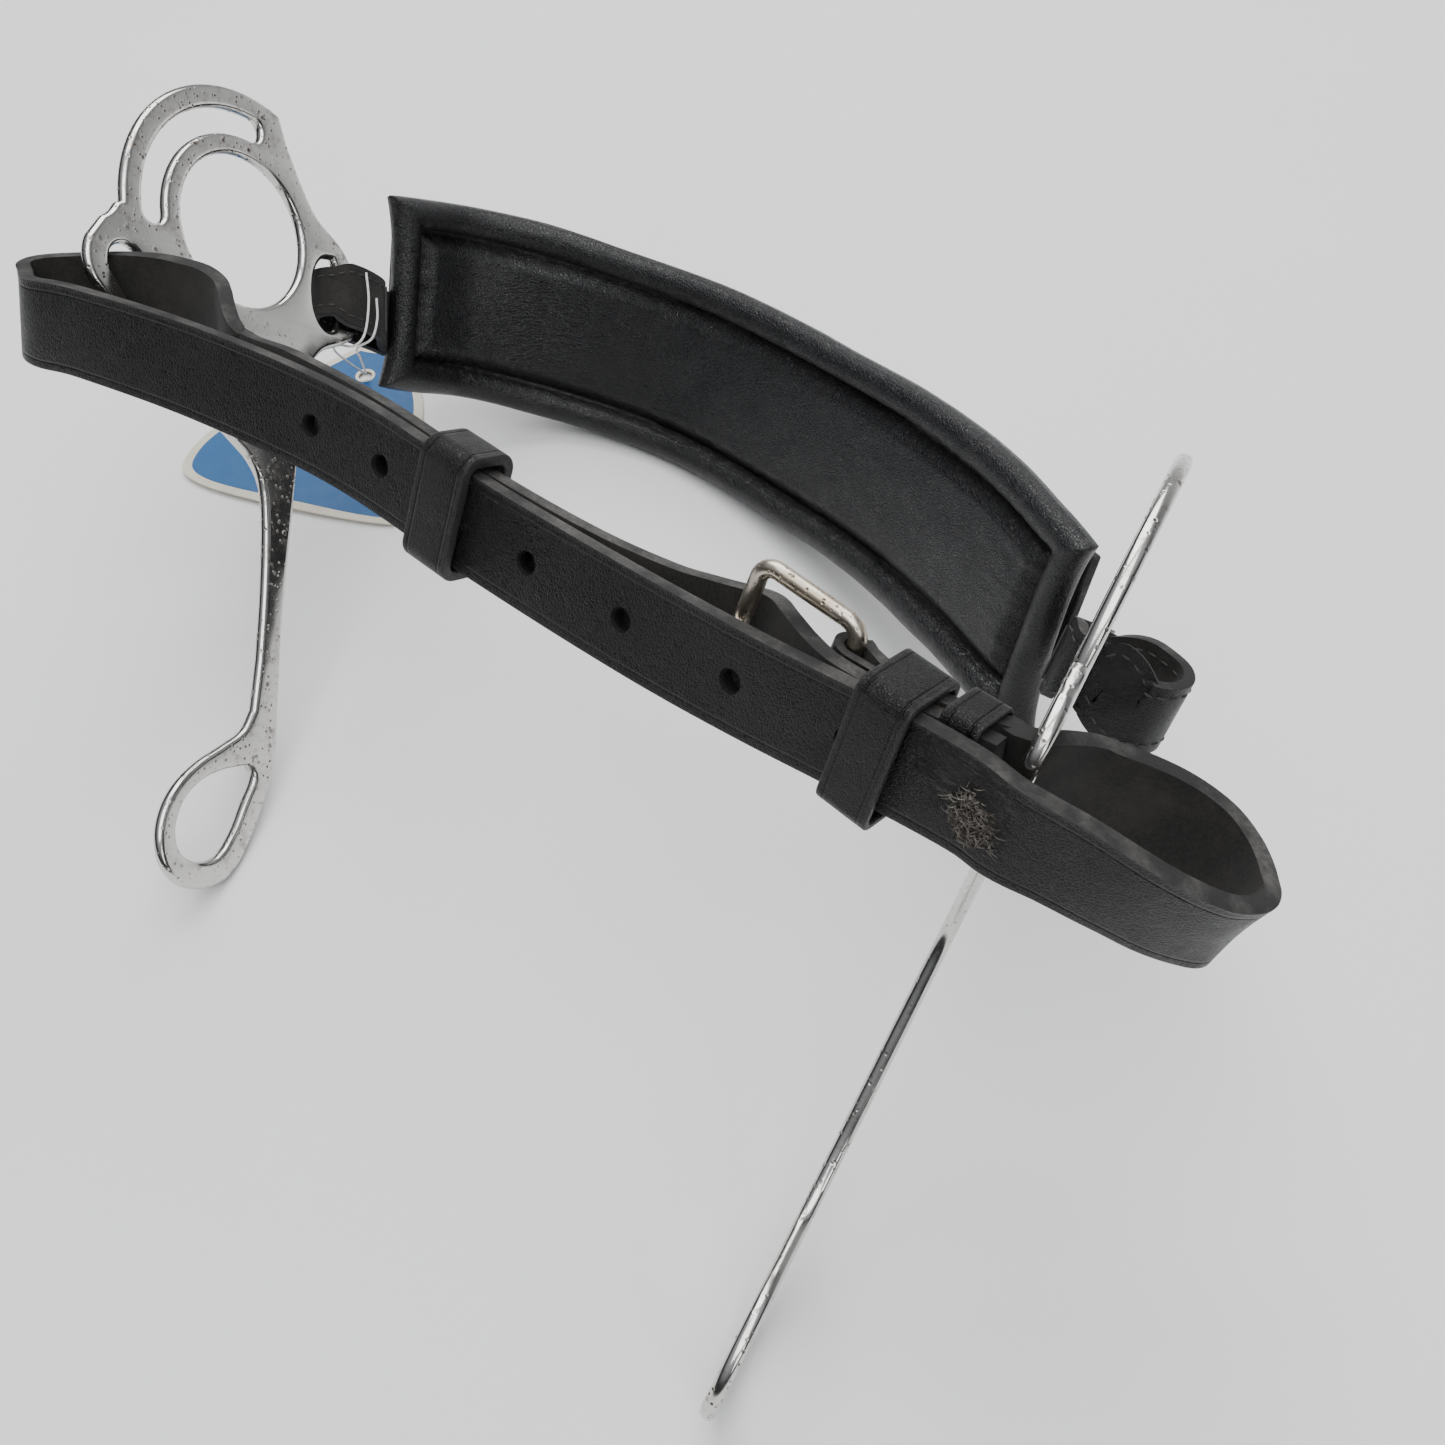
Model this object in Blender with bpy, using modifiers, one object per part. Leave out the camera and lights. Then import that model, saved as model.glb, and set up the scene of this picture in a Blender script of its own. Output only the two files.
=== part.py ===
"""Mechanical (bitless) hackamore: two steel lever cheeks, a padded leather
noseband between them and a buckled leather curb strap through their rear slots.

The object lies on a table on its two rein rings and the lower edge of the nose
pad.  World frame: metres, +Z up, +X from the left cheek to the right cheek,
+Y towards the nose pad, origin under the middle of the bounding box.
Working lengths below are in millimetres.
"""

import math

import bmesh
import bpy
from mathutils import Matrix, Vector

MM = 0.001

# ---------------------------------------------------------------- dimensions
PLATE_T = 3.2            # cheek plate thickness
PLATE_BEVEL = 0.9        # rounding of the stamped edges
EYE_R = 19.0             # large cheek hole
CRESCENT_R = (24.0, 30.0)
CRESCENT_DEG = (86.0, 187.0)
DISC_R = 35.6            # head disc of the cheek
SLOT_W = 8.6             # curb strap slot in the cheek
SLOT_L = 25.6
SLOT_TOP = (-34.3, -18.2)
SLOT_DIR_DEG = -50.3     # slot axis in the plate
NOSE_V = -8.0            # height of the nose tab on the cheek
STRAP_W = 20.5           # curb strap width
STRAP_T = 3.2            # curb strap thickness
SKIVE_T = 1.8            # thinned chape fold
HOLE_D = 4.2             # punched strap holes
PAD_W = (52.0, 57.5)     # noseband pad width at its ends and middle
ROLL_R = 4.3             # padded border roll
TAB_W = 17.0             # nose tab width
TAB_T = 2.4              # nose tab leather
WIRE_R = 1.7             # buckle wire
THREAD_R = 0.3           # seam thread
GAP = 0.3                # gap between touching pieces

# offset from the design frame to the frame whose origin is under the middle
TILT_DEG = (-1.785, 0.42)    # small turns about X and Y that bring both rein rings and the pad down
FRAME_SHIFT = (-0.6, 11.57, -2.37)
WORLD = (Matrix.Translation(FRAME_SHIFT) @ Matrix.Rotation(math.radians(TILT_DEG[0]), 4, "X")
         @ Matrix.Rotation(math.radians(TILT_DEG[1]), 4, "Y"))

# ---------------------------------------------------------------- scene setup
for old in list(bpy.data.objects):
    bpy.data.objects.remove(old, do_unlink=True)

PARTS = bpy.data.collections.new("bitless_hackamore")
CUTTERS = bpy.data.collections.new("cutters")
bpy.context.scene.collection.children.link(PARTS)
bpy.context.scene.collection.children.link(CUTTERS)


def material(name, colour, roughness, metallic=0.0):
    mat = bpy.data.materials.new(name)
    mat.use_nodes = True
    shader = mat.node_tree.nodes["Principled BSDF"]
    shader.inputs["Base Color"].default_value = (*colour, 1.0)
    shader.inputs["Roughness"].default_value = roughness
    shader.inputs["Metallic"].default_value = metallic
    mat.diffuse_color = (*colour, 1.0)
    return mat


STEEL = material("polished_steel", (0.55, 0.53, 0.50), 0.22, 1.0)
NICKEL = material("buckle_nickel", (0.62, 0.58, 0.52), 0.3, 1.0)
STRAP = material("strap_leather", (0.018, 0.018, 0.022), 0.45)
NAPPA = material("pad_leather", (0.014, 0.014, 0.017), 0.5)
FOAM = material("pad_foam", (0.55, 0.52, 0.45), 0.9)
THREAD = material("black_thread", (0.02, 0.02, 0.02), 0.7)
CARD = material("tag_card", (0.03, 0.33, 0.62), 0.4)


# ---------------------------------------------------------------- helpers
def empty(name, place):
    """A joint or frame empty, placed by a matrix in millimetres."""
    obj = bpy.data.objects.new(name, None)
    obj.empty_display_size = 0.01
    PARTS.objects.link(obj)
    m = WORLD @ place
    m.translation = m.translation * MM
    obj.matrix_world = m
    return obj


def frame(origin, x, y, z=None):
    """A placement from an origin and two axes; y is squared up against x."""
    x = Vector(x).normalized()
    y = Vector(y)
    y = (y - x * y.dot(x)).normalized()
    z = x.cross(y)
    m = Matrix((x, y, z)).transposed().to_4x4()
    m.translation = Vector(origin)
    return m


def place(obj, matrix_mm, parent):
    """Puts obj at a design-frame placement and hangs it on its joint empty."""
    bpy.context.view_layer.update()
    m = WORLD @ matrix_mm
    m.translation = m.translation * MM
    obj.parent = parent
    obj.matrix_parent_inverse = parent.matrix_world.inverted()
    obj.matrix_world = m
    return obj


def add_mesh(name, bm, mat, parent, matrix_mm=None, sharp=35.0):
    """A new object from a bmesh in millimetres of its own placement."""
    bmesh.ops.scale(bm, vec=(MM, MM, MM), verts=bm.verts)
    mesh = bpy.data.meshes.new(name)
    bm.to_mesh(mesh)
    bm.free()
    mesh.materials.append(mat)
    mesh.shade_smooth()
    mesh.set_sharp_from_angle(angle=math.radians(sharp))
    obj = bpy.data.objects.new(name, mesh)
    PARTS.objects.link(obj)
    return place(obj, matrix_mm or Matrix.Identity(4), parent)


def spline(points, steps):
    """Catmull-Rom curve through the points, `steps` samples a span."""
    pts = [Vector(p) for p in points]
    pts = [pts[0] * 2 - pts[1]] + pts + [pts[-1] * 2 - pts[-2]]
    out = []
    for i in range(1, len(pts) - 2):
        a, b, c, d = pts[i - 1], pts[i], pts[i + 1], pts[i + 2]
        for k in range(steps):
            t = k / steps
            out.append(0.5 * ((2 * b) + (c - a) * t + (2 * a - 5 * b + 4 * c - d) * t * t
                              + (3 * b - a - 3 * c + d) * t ** 3))
    out.append(pts[-2].copy())
    return out


def even(points, pitch):
    """The same polyline with points an even pitch apart."""
    lengths = [0.0]
    for a, b in zip(points, points[1:]):
        lengths.append(lengths[-1] + (b - a).length)
    count = max(2, round(lengths[-1] / pitch))
    out, j = [], 0
    for i in range(count + 1):
        want = lengths[-1] * i / count
        while j < len(points) - 2 and lengths[j + 1] < want:
            j += 1
        span = lengths[j + 1] - lengths[j]
        out.append(points[j].lerp(points[j + 1], (want - lengths[j]) / span if span else 0))
    return out


def arc(centre, radius, start, end, count):
    """Points on an arc, in degrees, ends included."""
    return [Vector((centre[0] + radius * math.cos(math.radians(start + (end - start) * i / count)),
                    centre[1] + radius * math.sin(math.radians(start + (end - start) * i / count))))
            for i in range(count + 1)]


def winding(loop):
    return sum(a.x * b.y - b.x * a.y for a, b in zip(loop, loop[1:] + loop[:1]))


def plate(name, loops, thickness, bevel, mat, parent, matrix_mm, bevel_res=0):
    """A flat outline with holes, extruded and edge-rounded, as a mesh object."""
    curve = bpy.data.curves.new(name, "CURVE")
    curve.dimensions = "2D"
    curve.fill_mode = "BOTH"
    curve.extrude = (thickness / 2 - bevel) * MM
    curve.bevel_depth = bevel * MM
    curve.bevel_resolution = bevel_res
    curve.offset = -bevel * MM
    for index, loop in enumerate(loops):
        if (winding(loop) > 0) != (index == 0):
            loop = loop[::-1]
        line = curve.splines.new("POLY")
        line.points.add(len(loop) - 1)
        for point, p in zip(line.points, loop):
            point.co = (p.x * MM, p.y * MM, 0, 1)
        line.use_cyclic_u = True
    guide = bpy.data.objects.new(name + "_outline", curve)
    CUTTERS.objects.link(guide)
    bpy.context.view_layer.update()
    mesh = bpy.data.meshes.new_from_object(
        guide.evaluated_get(bpy.context.evaluated_depsgraph_get()))
    bpy.data.objects.remove(guide, do_unlink=True)
    bm = bmesh.new()
    bm.from_mesh(mesh)
    bmesh.ops.remove_doubles(bm, verts=bm.verts, dist=0.000005)
    bmesh.ops.recalc_face_normals(bm, faces=bm.faces)
    bmesh.ops.scale(bm, vec=(1 / MM,) * 3, verts=bm.verts)
    bpy.data.meshes.remove(mesh)
    return add_mesh(name, bm, mat, parent, matrix_mm)


def tube(name, points, radius, mat, parent, resolution=2, cyclic=False):
    """A round wire or roll along points of the design frame."""
    curve = bpy.data.curves.new(name, "CURVE")
    curve.dimensions = "3D"
    curve.bevel_depth = radius * MM
    curve.bevel_resolution = resolution
    curve.use_fill_caps = not cyclic
    line = curve.splines.new("POLY")
    line.points.add(len(points) - 1)
    origin = points[0]
    for point, p in zip(line.points, points):
        point.co = (*((p - origin) * MM), 1)
    line.use_cyclic_u = cyclic
    line.use_smooth = True
    curve.materials.append(mat)
    obj = bpy.data.objects.new(name, curve)
    PARTS.objects.link(obj)
    return place(obj, Matrix.Translation(origin), parent)


def ribbon(name, centres, sides, widths, thickness, mat, parent, bevel=0.5,
           across=2, skipped=(), group=None, cuts=()):
    """A strap: an open strip about its centre line, thickened both ways.

    sides are the unit directions across the strap, widths its full widths.
    """
    bm = bmesh.new()
    rows = []
    marks = across if isinstance(across, (list, tuple)) else [
        -1 + 2 * k / across for k in range(across + 1)]
    for c, s, w in zip(centres, sides, widths):
        rows.append([bm.verts.new(c + s * (w / 2 * m)) for m in marks])
    for i in range(len(rows) - 1):
        for k in range(len(marks) - 1):
            if (i, k) in skipped:
                continue
            bm.faces.new((rows[i][k], rows[i + 1][k], rows[i + 1][k + 1], rows[i][k + 1]))
    obj = add_mesh(name, bm, mat, parent, sharp=50)
    if group:
        vg = obj.vertex_groups.new(name="thickness")
        for i, weight in enumerate(group):
            for k in range(len(marks)):
                vg.add([i * len(marks) + k], weight, "REPLACE")
    solid = obj.modifiers.new("thickness", "SOLIDIFY")
    solid.thickness = thickness * MM
    solid.offset = 0
    solid.use_even_offset = False
    if group:
        solid.vertex_group = "thickness"
        solid.thickness_vertex_group = 0.0
    if cuts:
        cutter = join_cutters(name + "_holes", cuts)
        cut = obj.modifiers.new("holes", "BOOLEAN")
        cut.operation = "DIFFERENCE"
        cut.object = cutter
    elif bevel:
        edge = obj.modifiers.new("edges", "BEVEL")
        edge.width = bevel * MM
        edge.segments = 1
        edge.limit_method = "ANGLE"
        edge.angle_limit = math.radians(50)
    return obj


def join_cutters(name, placements):
    """One cutter made of cylinders: (placement, radius, length, sides)."""
    bm = bmesh.new()
    for m, radius, length, sides in placements:
        made = bmesh.ops.create_cone(bm, cap_ends=True, segments=sides, radius1=radius,
                                     radius2=radius, depth=length)
        bmesh.ops.transform(bm, matrix=m, verts=made["verts"])
    bmesh.ops.transform(bm, matrix=Matrix.Scale(MM, 4) @ WORLD, verts=bm.verts)
    mesh = bpy.data.meshes.new(name)
    bm.to_mesh(mesh)
    bm.free()
    obj = bpy.data.objects.new(name, mesh)
    obj.hide_render = True
    obj.display_type = "WIRE"
    CUTTERS.objects.link(obj)
    return obj


def squared(sides, centres):
    """Width directions made square to the centre line."""
    out = []
    for i, s in enumerate(sides):
        a, b = centres[max(i - 1, 0)], centres[min(i + 1, len(centres) - 1)]
        t = (b - a).normalized()
        s = s - t * s.dot(t)
        out.append(s.normalized())
    return out


def loop_plate(name, inner_w, inner_t, leather, width, mat, parent, matrix_mm, corner=2.0):
    """A keeper: a leather loop of rounded-rectangle section around the straps."""
    def rounded(w, t, r):
        pts = []
        for cx, cy, start in ((w / 2 - r, t / 2 - r, 0), (-w / 2 + r, t / 2 - r, 90),
                              (-w / 2 + r, -t / 2 + r, 180), (w / 2 - r, -t / 2 + r, 270)):
            pts += arc((cx, cy), r, start, start + 90, 4)
        return pts
    outer = rounded(inner_w + 2 * leather, inner_t + 2 * leather, corner + leather)
    inner = rounded(inner_w, inner_t, corner)
    return plate(name, [outer, inner], width, 0.4, mat, parent, matrix_mm)


ROOT = empty("hackamore_frame", Matrix.Identity(4))

# ---------------------------------------------------------------- cheek plates
# Each cheek is one flat stamping.  u runs to the nose side, v up the cheek.
LEFT = frame((-122.7, 0.3, 94.1), (0.103, 0.722, -0.685), (-0.519, 0.626, 0.582))
RIGHT = frame((121.1, 2.2, 112.7), (-0.223, 0.672, -0.707), (-0.061, 0.714, 0.698))
LEFT_MID = LEFT @ Matrix.Translation((0, 0, -PLATE_T / 2))
RIGHT_MID = RIGHT

slot_dir = Vector((math.cos(math.radians(SLOT_DIR_DEG)), math.sin(math.radians(SLOT_DIR_DEG))))
slot_nrm = Vector((-slot_dir.y, slot_dir.x))
slot_a = Vector(SLOT_TOP)
slot_b = slot_a + slot_dir * (SLOT_L - SLOT_W)
slot_mid = (slot_a + slot_b) / 2
rim_w = 5.6              # bar around the strap slot
rim_off = SLOT_W / 2 + rim_w


def flat(points):
    return [Vector(p) for p in points]


def cheek_outline():
    head = arc((0, 0), DISC_R, 186, 72, 26)
    nose = spline(flat([(13.8, 27.0), (18.5, 19.0), (24.0, 11.6), (32.5, 6.0), (36.5, 1.0),
                        (37.8, -6.0), (38.7, -14.0), (37.2, -18.6), (32.5, -21.5), (26.0, -25.0),
                        (21.5, -32.0), (19.3, -44.0), (18.2, -57.0), (16.0, -78.0), (13.8, -99.0),
                        (12.7, -119.0), (12.0, -132.0), (9.2, -143.6), (4.0, -155.5)]), 3)
    ring = spline(flat([(1.0, -160.6), (-3.5, -164.6), (-10.0, -166.4), (-17.0, -165.0),
                        (-21.8, -160.0), (-23.2, -153.0), (-21.5, -146.0), (-17.5, -140.0),
                        (-11.5, -135.0), (-4.5, -131.0), (1.5, -127.2), (4.6, -122.0)]), 2)
    arm = spline(flat([(6.3, -109.0), (7.4, -93.0), (7.8, -76.0), (6.8, -65.0), (3.0, -58.5),
                       (-4.0, -53.2)]), 3)
    low = slot_b - slot_nrm * rim_off
    high = slot_a - slot_nrm * rim_off
    claw = spline(flat([(-14.0, -47.0), (-24.0, -41.5)]), 3)
    claw += [low + slot_dir * 1.5, low - slot_dir * 6, high + slot_dir * 4]
    base = math.degrees(math.atan2(-slot_nrm.y, -slot_nrm.x)) % 360
    claw += arc(slot_a, rim_off + 0.6, base, base - 62, 7)
    claw += spline(flat([(-40.6, -9.0), (-38.4, -7.0), (-36.9, -4.6)]), 2)
    return head + nose + ring + arm + claw


def ring_loop(centre, radius, count):
    return arc(centre, radius, 0, 360, count)[:-1]


def crescent():
    r0, r1 = CRESCENT_R
    mid, half = (r0 + r1) / 2, (r1 - r0) / 2
    a, b = CRESCENT_DEG
    ca = (mid * math.cos(math.radians(a)), mid * math.sin(math.radians(a)))
    cb = (mid * math.cos(math.radians(b)), mid * math.sin(math.radians(b)))
    return (arc((0, 0), r1, a, b, 18) + arc(cb, half, b, b + 180, 5)[1:-1]
            + arc((0, 0), r0, b, a, 16) + arc(ca, half, a + 180, a + 360, 5)[1:-1])


def strap_slot():
    along = SLOT_DIR_DEG
    return (arc(slot_a, SLOT_W / 2, along + 90, along + 270, 8)
            + arc(slot_b, SLOT_W / 2, along - 90, along + 90, 8))


def nose_slot():
    """Opening between the head and the nose bar, the tab's way through."""
    return even(spline(flat([(29.8, 1.6), (26.0, 0.4), (23.6, -3.6), (23.0, -9.0), (24.0, -14.6),
                             (27.0, -18.0), (30.4, -17.6), (31.4, -13.0), (31.0, -8.0),
                             (31.2, -2.0), (29.8, 1.6)]), 4), 3.0)[:-1]


def rein_ring():
    """Pear-shaped hole for the rein."""
    return even(spline(flat([(3.0, -136.0), (-4.0, -137.2), (-10.5, -139.8), (-15.5, -144.5),
                             (-18.0, -151.0), (-16.8, -157.0), (-12.0, -159.7), (-6.0, -158.6),
                             (-1.5, -153.0), (2.0, -145.5), (4.8, -139.5), (3.0, -136.0)]), 4),
                3.2)[:-1]


LOOPS = [cheek_outline(), ring_loop((0, 0), EYE_R, 36), crescent(), strap_slot(), nose_slot(),
         rein_ring()]

# The lever axis runs through both nose bars.
NOSE_BAR = Vector((34.8, NOSE_V, 0))
nose_left = LEFT_MID @ NOSE_BAR
nose_right = RIGHT_MID @ NOSE_BAR
lever_left = empty("left_cheek_lever", frame(nose_left, nose_right - nose_left, (0, 1, 0)))
lever_right = empty("right_cheek_lever", frame(nose_right, nose_right - nose_left, (0, 1, 0)))
plate("left_cheek", [list(l) for l in LOOPS], PLATE_T, PLATE_BEVEL, STEEL, lever_left, LEFT_MID)
plate("right_cheek", [list(l) for l in LOOPS], PLATE_T, PLATE_BEVEL, STEEL, lever_right, RIGHT_MID)

# ---------------------------------------------------------------- nose pad
PAD_PATH = [(-117, 36, 58), (-111, 60, 43), (-88, 78, 34), (-53, 87, 32), (-12, 84, 36),
            (29, 74, 44), (63, 59, 53), (86, 46, 59), (99, 41, 61)]
PAD_SIDE = [(-0.33, 0.56, 0.76), (-0.25, 0.48, 0.84), (-0.14, 0.39, 0.91), (-0.08, 0.34, 0.94),
            (-0.07, 0.34, 0.94), (-0.06, 0.35, 0.93), (-0.05, 0.38, 0.92), (-0.01, 0.36, 0.93),
            (0.07, 0.23, 0.97)]
pad_c = spline(PAD_PATH, 4)
pad_s = squared([v.normalized() for v in spline(PAD_SIDE, 4)], pad_c)
pad_t = [(pad_c[min(i + 1, len(pad_c) - 1)] - pad_c[max(i - 1, 0)]).normalized()
         for i in range(len(pad_c))]
pad_n = [t.cross(s) for t, s in zip(pad_t, pad_s)]   # out of the side that lies on the nose
pad_w = [PAD_W[0] + (PAD_W[1] - PAD_W[0]) * math.sin(math.pi * i / (len(pad_c) - 1)) ** 0.6
         for i in range(len(pad_c))]


def pad_ribbon(name, first, last, inset, depth, thickness, mat, bevel=0.4, across=2, width=None):
    """A layer of the pad between two stations, `depth` out of the mid surface."""
    idx = range(first, last)
    cs = [pad_c[i] + pad_n[i] * depth for i in idx]
    ws = [width or pad_w[i] - 2 * inset for i in idx]
    return ribbon(name, cs, [pad_s[i] for i in idx], ws, thickness, mat, ROOT,
                  bevel=bevel, across=across)


COUNT = len(pad_c)
roll_in = 2 * ROLL_R + GAP
pad_ribbon("pad_core", 2, COUNT - 3, roll_in + 0.4, -2.0, 5.0, FOAM, bevel=1.0)
pad_ribbon("pad_front_panel", 2, COUNT - 3, roll_in, 1.5, 1.3, NAPPA)
pad_ribbon("pad_back_panel", 1, COUNT - 1, 1.5, -5.7, 1.2, NAPPA)
pad_ribbon("nose_strap", 1, COUNT - 1, 0, -8.2, 3.0, STRAP, width=38.0)
top = [c + s * (w / 2 - ROLL_R) for c, s, w in zip(pad_c, pad_s, pad_w)]
bottom = [c - s * (w / 2 - ROLL_R) for c, s, w in zip(pad_c, pad_s, pad_w)]
tube("pad_upper_roll", top, ROLL_R, NAPPA, ROOT)
tube("pad_lower_roll", bottom, ROLL_R, NAPPA, ROOT)
for side, i, sign in (("left", 0, 1), ("right", COUNT - 1, -1)):
    c = pad_c[i] + pad_t[i] * (sign * ROLL_R)
    half = pad_w[i] / 2 - roll_in - 0.6
    tube(f"pad_{side}_roll", [c - pad_s[i] * half, c, c + pad_s[i] * half], ROLL_R, NAPPA, ROOT)

# ---------------------------------------------------------------- nose tabs
# Folded leather tabs that join the nose strap to the nose bars: through the
# nose slot, round the bar and back, where they are sewn.


def tab(name, base, path):
    """A tab from (u, n) points in a cheek's own plane."""
    centres = [base @ Vector((u, NOSE_V, n)) for u, n in path]
    up = (base.to_3x3() @ Vector((0, 1, 0))).normalized()
    pts = spline([tuple(c) for c in centres], 4)
    sides = squared([up] * len(pts), pts)
    # the leather is gathered where it passes through the slot
    inverse = base.inverted()
    widths = [TAB_W - 4.2 * min(1.0, max(0.0, (33.0 - (inverse @ q).x) / 4.0)) *
              min(1.0, max(0.0, (5.5 - abs((inverse @ q).z)) / 2.5)) for q in pts]
    return ribbon(name, pts, sides, widths, TAB_T, STRAP, ROOT, bevel=0.35)


tab("left_nose_tab", LEFT_MID,
    [(50.2, -1.0), (46, 2.4), (38, 4.5), (31.5, 4.2), (28.2, 2.8), (27.2, -0.6), (28.2, -3.8),
     (31.5, -5.4), (38, -6.0), (45, -6.0), (50.2, -5.2)])
tab("right_nose_tab", RIGHT_MID,
    [(67.5, -0.6), (62, -1.3), (56.5, -3.2), (51, -4.7), (45, -4.6), (38, -4.0), (31.4, -3.2), (27.9, 0.0),
     (27.0, 5.0), (27.4, 11.0), (29.5, 17.0), (34.5, 20.0), (40.0, 18.5), (43.4, 13.0), (45.0, 7.0),
     (48.0, 2.6), (52, 0.6), (57, 0.9), (62, 1.9), (67.5, 2.6)])
# seam threads across the closed end of each tab, just proud of the leather
for side, base, (u, n) in (("left", LEFT_MID, (46.7, 4.15)), ("right", RIGHT_MID, (44.8, -6.3))):
    tube(f"{side}_tab_thread", [base @ Vector((u, NOSE_V + v, n)) for v in (-6.2, -2, 2, 6.2)],
         THREAD_R, THREAD, ROOT, resolution=1)

# ---------------------------------------------------------------- curb strap
# One strap, from the fold round the buckle's bar, through the right slot, back
# along the front, through the left slot and along behind itself to the buckle.
slot_left = LEFT_MID @ Vector((slot_mid.x, slot_mid.y, 0))
slot_right = RIGHT_MID @ Vector((slot_mid.x, slot_mid.y, 0))
slot_up_left = (LEFT_MID.to_3x3() @ Vector((-slot_dir.x, -slot_dir.y, 0))).normalized()
slot_up_right = (RIGHT_MID.to_3x3() @ Vector((-slot_dir.x, -slot_dir.y, 0))).normalized()
strap_axis = empty("curb_strap_tilt", frame(slot_left, slot_right - slot_left, (0, 1, 0)))

FRONT = [  # outer face of the front run, right to left: place and width direction
    ((124, -49, 119.5), (-0.03, 0.24, 0.97)),
    ((105, -48.5, 117), (-0.01, 0.31, 0.95)),
    ((79, -49, 114), (0.0, 0.37, 0.93)),
    ((50, -48, 110), (0.01, 0.44, 0.90)),
    ((12, -47.5, 108), (0.01, 0.44, 0.90)),
    ((-31, -46.5, 107.5), (-0.02, 0.46, 0.89)),
    ((-72, -51, 106), (-0.08, 0.45, 0.89)),
    ((-107, -58, 104), (-0.08, 0.38, 0.92))]
OUTER = []
for k, (p, w) in enumerate(FRONT):
    a, b = Vector(FRONT[max(k - 1, 0)][0]), Vector(FRONT[min(k + 1, len(FRONT) - 1)][0])
    n = (a - b).normalized().cross(Vector(w)).normalized()
    n = n if n.y > 0 else -n
    OUTER.append((Vector(p) + n * (STRAP_T / 2), w))
outer_c = spline([p for p, _ in OUTER], 12)
outer_w = squared([Vector(v).normalized() for v in spline([w for _, w in OUTER], 12)], outer_c)


def behind(x, depth, lift=0.0):
    """A point behind the front run at station x, and the width direction there."""
    i = min(range(len(outer_c)), key=lambda k: abs(outer_c[k].x - x))
    j = min(max(i, 1), len(outer_c) - 2)
    step = outer_c[j + 1] - outer_c[j - 1]
    t = step.normalized() if step.x > 0 else -step.normalized()
    w = outer_w[j]
    n = w.cross(t)
    if n.y < 0:
        n = -n
    p = outer_c[j] + t * ((x - outer_c[j].x) / t.x)
    return p + n * depth + w * lift, w, n, t


# buckle frame: turned a little in the plane of the strap, its toe lying over the
# billet and its bar lying behind it
FRAME_H = 28.0
FRAME_SKEW_DEG = 13.5
BILLET_W = 19.0
FOLD_GAP = 0.35
toe_top = behind(74.1, 6.6, 19.2)[0]
bar_top, bar_w, _, bar_t = behind(95.2, 9.5, 14.6)
skew = math.radians(FRAME_SKEW_DEG)
frame_b = (bar_w * math.cos(skew) + bar_t * math.sin(skew)).normalized()
frame_a = bar_top - toe_top
frame_a = frame_a - frame_b * frame_a.dot(frame_b)
FRAME_L = frame_a.length
frame_a.normalize()
bar_mid = bar_top - frame_b * (FRAME_H / 2)
frame_n = frame_a.cross(frame_b)
if frame_n.y < 0:
    frame_n = -frame_n

fold_r = WIRE_R + FOLD_GAP + SKIVE_T / 2
path = []                 # (centre, width direction, thickness weight, width)
thin = SKIVE_T / STRAP_T
for a in (7.0, 3.5):
    path.append((bar_mid + frame_a * a - frame_n * (fold_r - 0.12 * a), frame_b, thin, STRAP_W))
for k in range(0, 7):
    ang = math.radians(-90 - 30 * k)
    path.append((bar_mid + frame_a * (fold_r * math.cos(ang)) + frame_n * (fold_r * math.sin(ang)),
                 frame_b, thin, STRAP_W))
path.append((bar_mid + frame_a * 3.5 + frame_n * (fold_r - 0.3), frame_b, thin, STRAP_W))
for x, d, h, g in ((97.6, 10.8, 0.7, 0.62), (102.0, 8.9, 0.4, 0.85), (106.5, 8.1, 0.2, 1.0), (112.0, 8.1, 0, 1.0),
                   (118.0, 8.9, 0, 1.0), (122.6, 10.0, 0, 1.0)):
    p, w, n, t = behind(x, d, h)
    path.append((p, w, g, STRAP_W))
path.append((slot_right.lerp(behind(122.6, 10.0)[0], 0.45),
             (slot_up_right * 0.6 + behind(121, 0)[1] * 0.4), 1.0, STRAP_W))
slot_side = (RIGHT_MID.to_3x3() @ Vector((slot_nrm.x, slot_nrm.y, 0))).normalized()
path.append((slot_right + slot_up_right * 0.8 - slot_side * 0.6, slot_up_right, 1.0, STRAP_W))
# bight behind and round the right cheek
back_right = [((134.8, -26.8, 110.8), (0.15, 0.20, 0.965)), ((142.0, -22.4, 107.6), (0.2, 0.27, 0.94)),
              ((149.0, -20.0, 105.4), (0.23, 0.28, 0.93)), ((156.0, -20.0, 104.0), (0.25, 0.27, 0.93)),
              ((162.0, -22.6, 103.6), (0.25, 0.22, 0.94)), ((166.6, -26.8, 104.0), (0.23, 0.17, 0.96)),
              ((168.4, -30.8, 105.0), (0.22, 0.12, 0.97)), ((167.0, -35.0, 107.0), (0.26, 0.1, 0.96)),
              ((162.2, -39.8, 110.4), (0.36, 0.13, 0.92)), ((154.0, -44.2, 115.2), (0.34, 0.12, 0.93)),
              ((143.0, -47.1, 118.8), (0.10, 0.14, 0.98)),
              ((133.0, -48.3, 119.4), (0.02, 0.2, 0.98))]
for p, w in back_right:
    path.append((Vector(p), Vector(w), 1.0, STRAP_W))
for p, w in OUTER:
    path.append((Vector(p), Vector(w), 1.0, STRAP_W))
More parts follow.
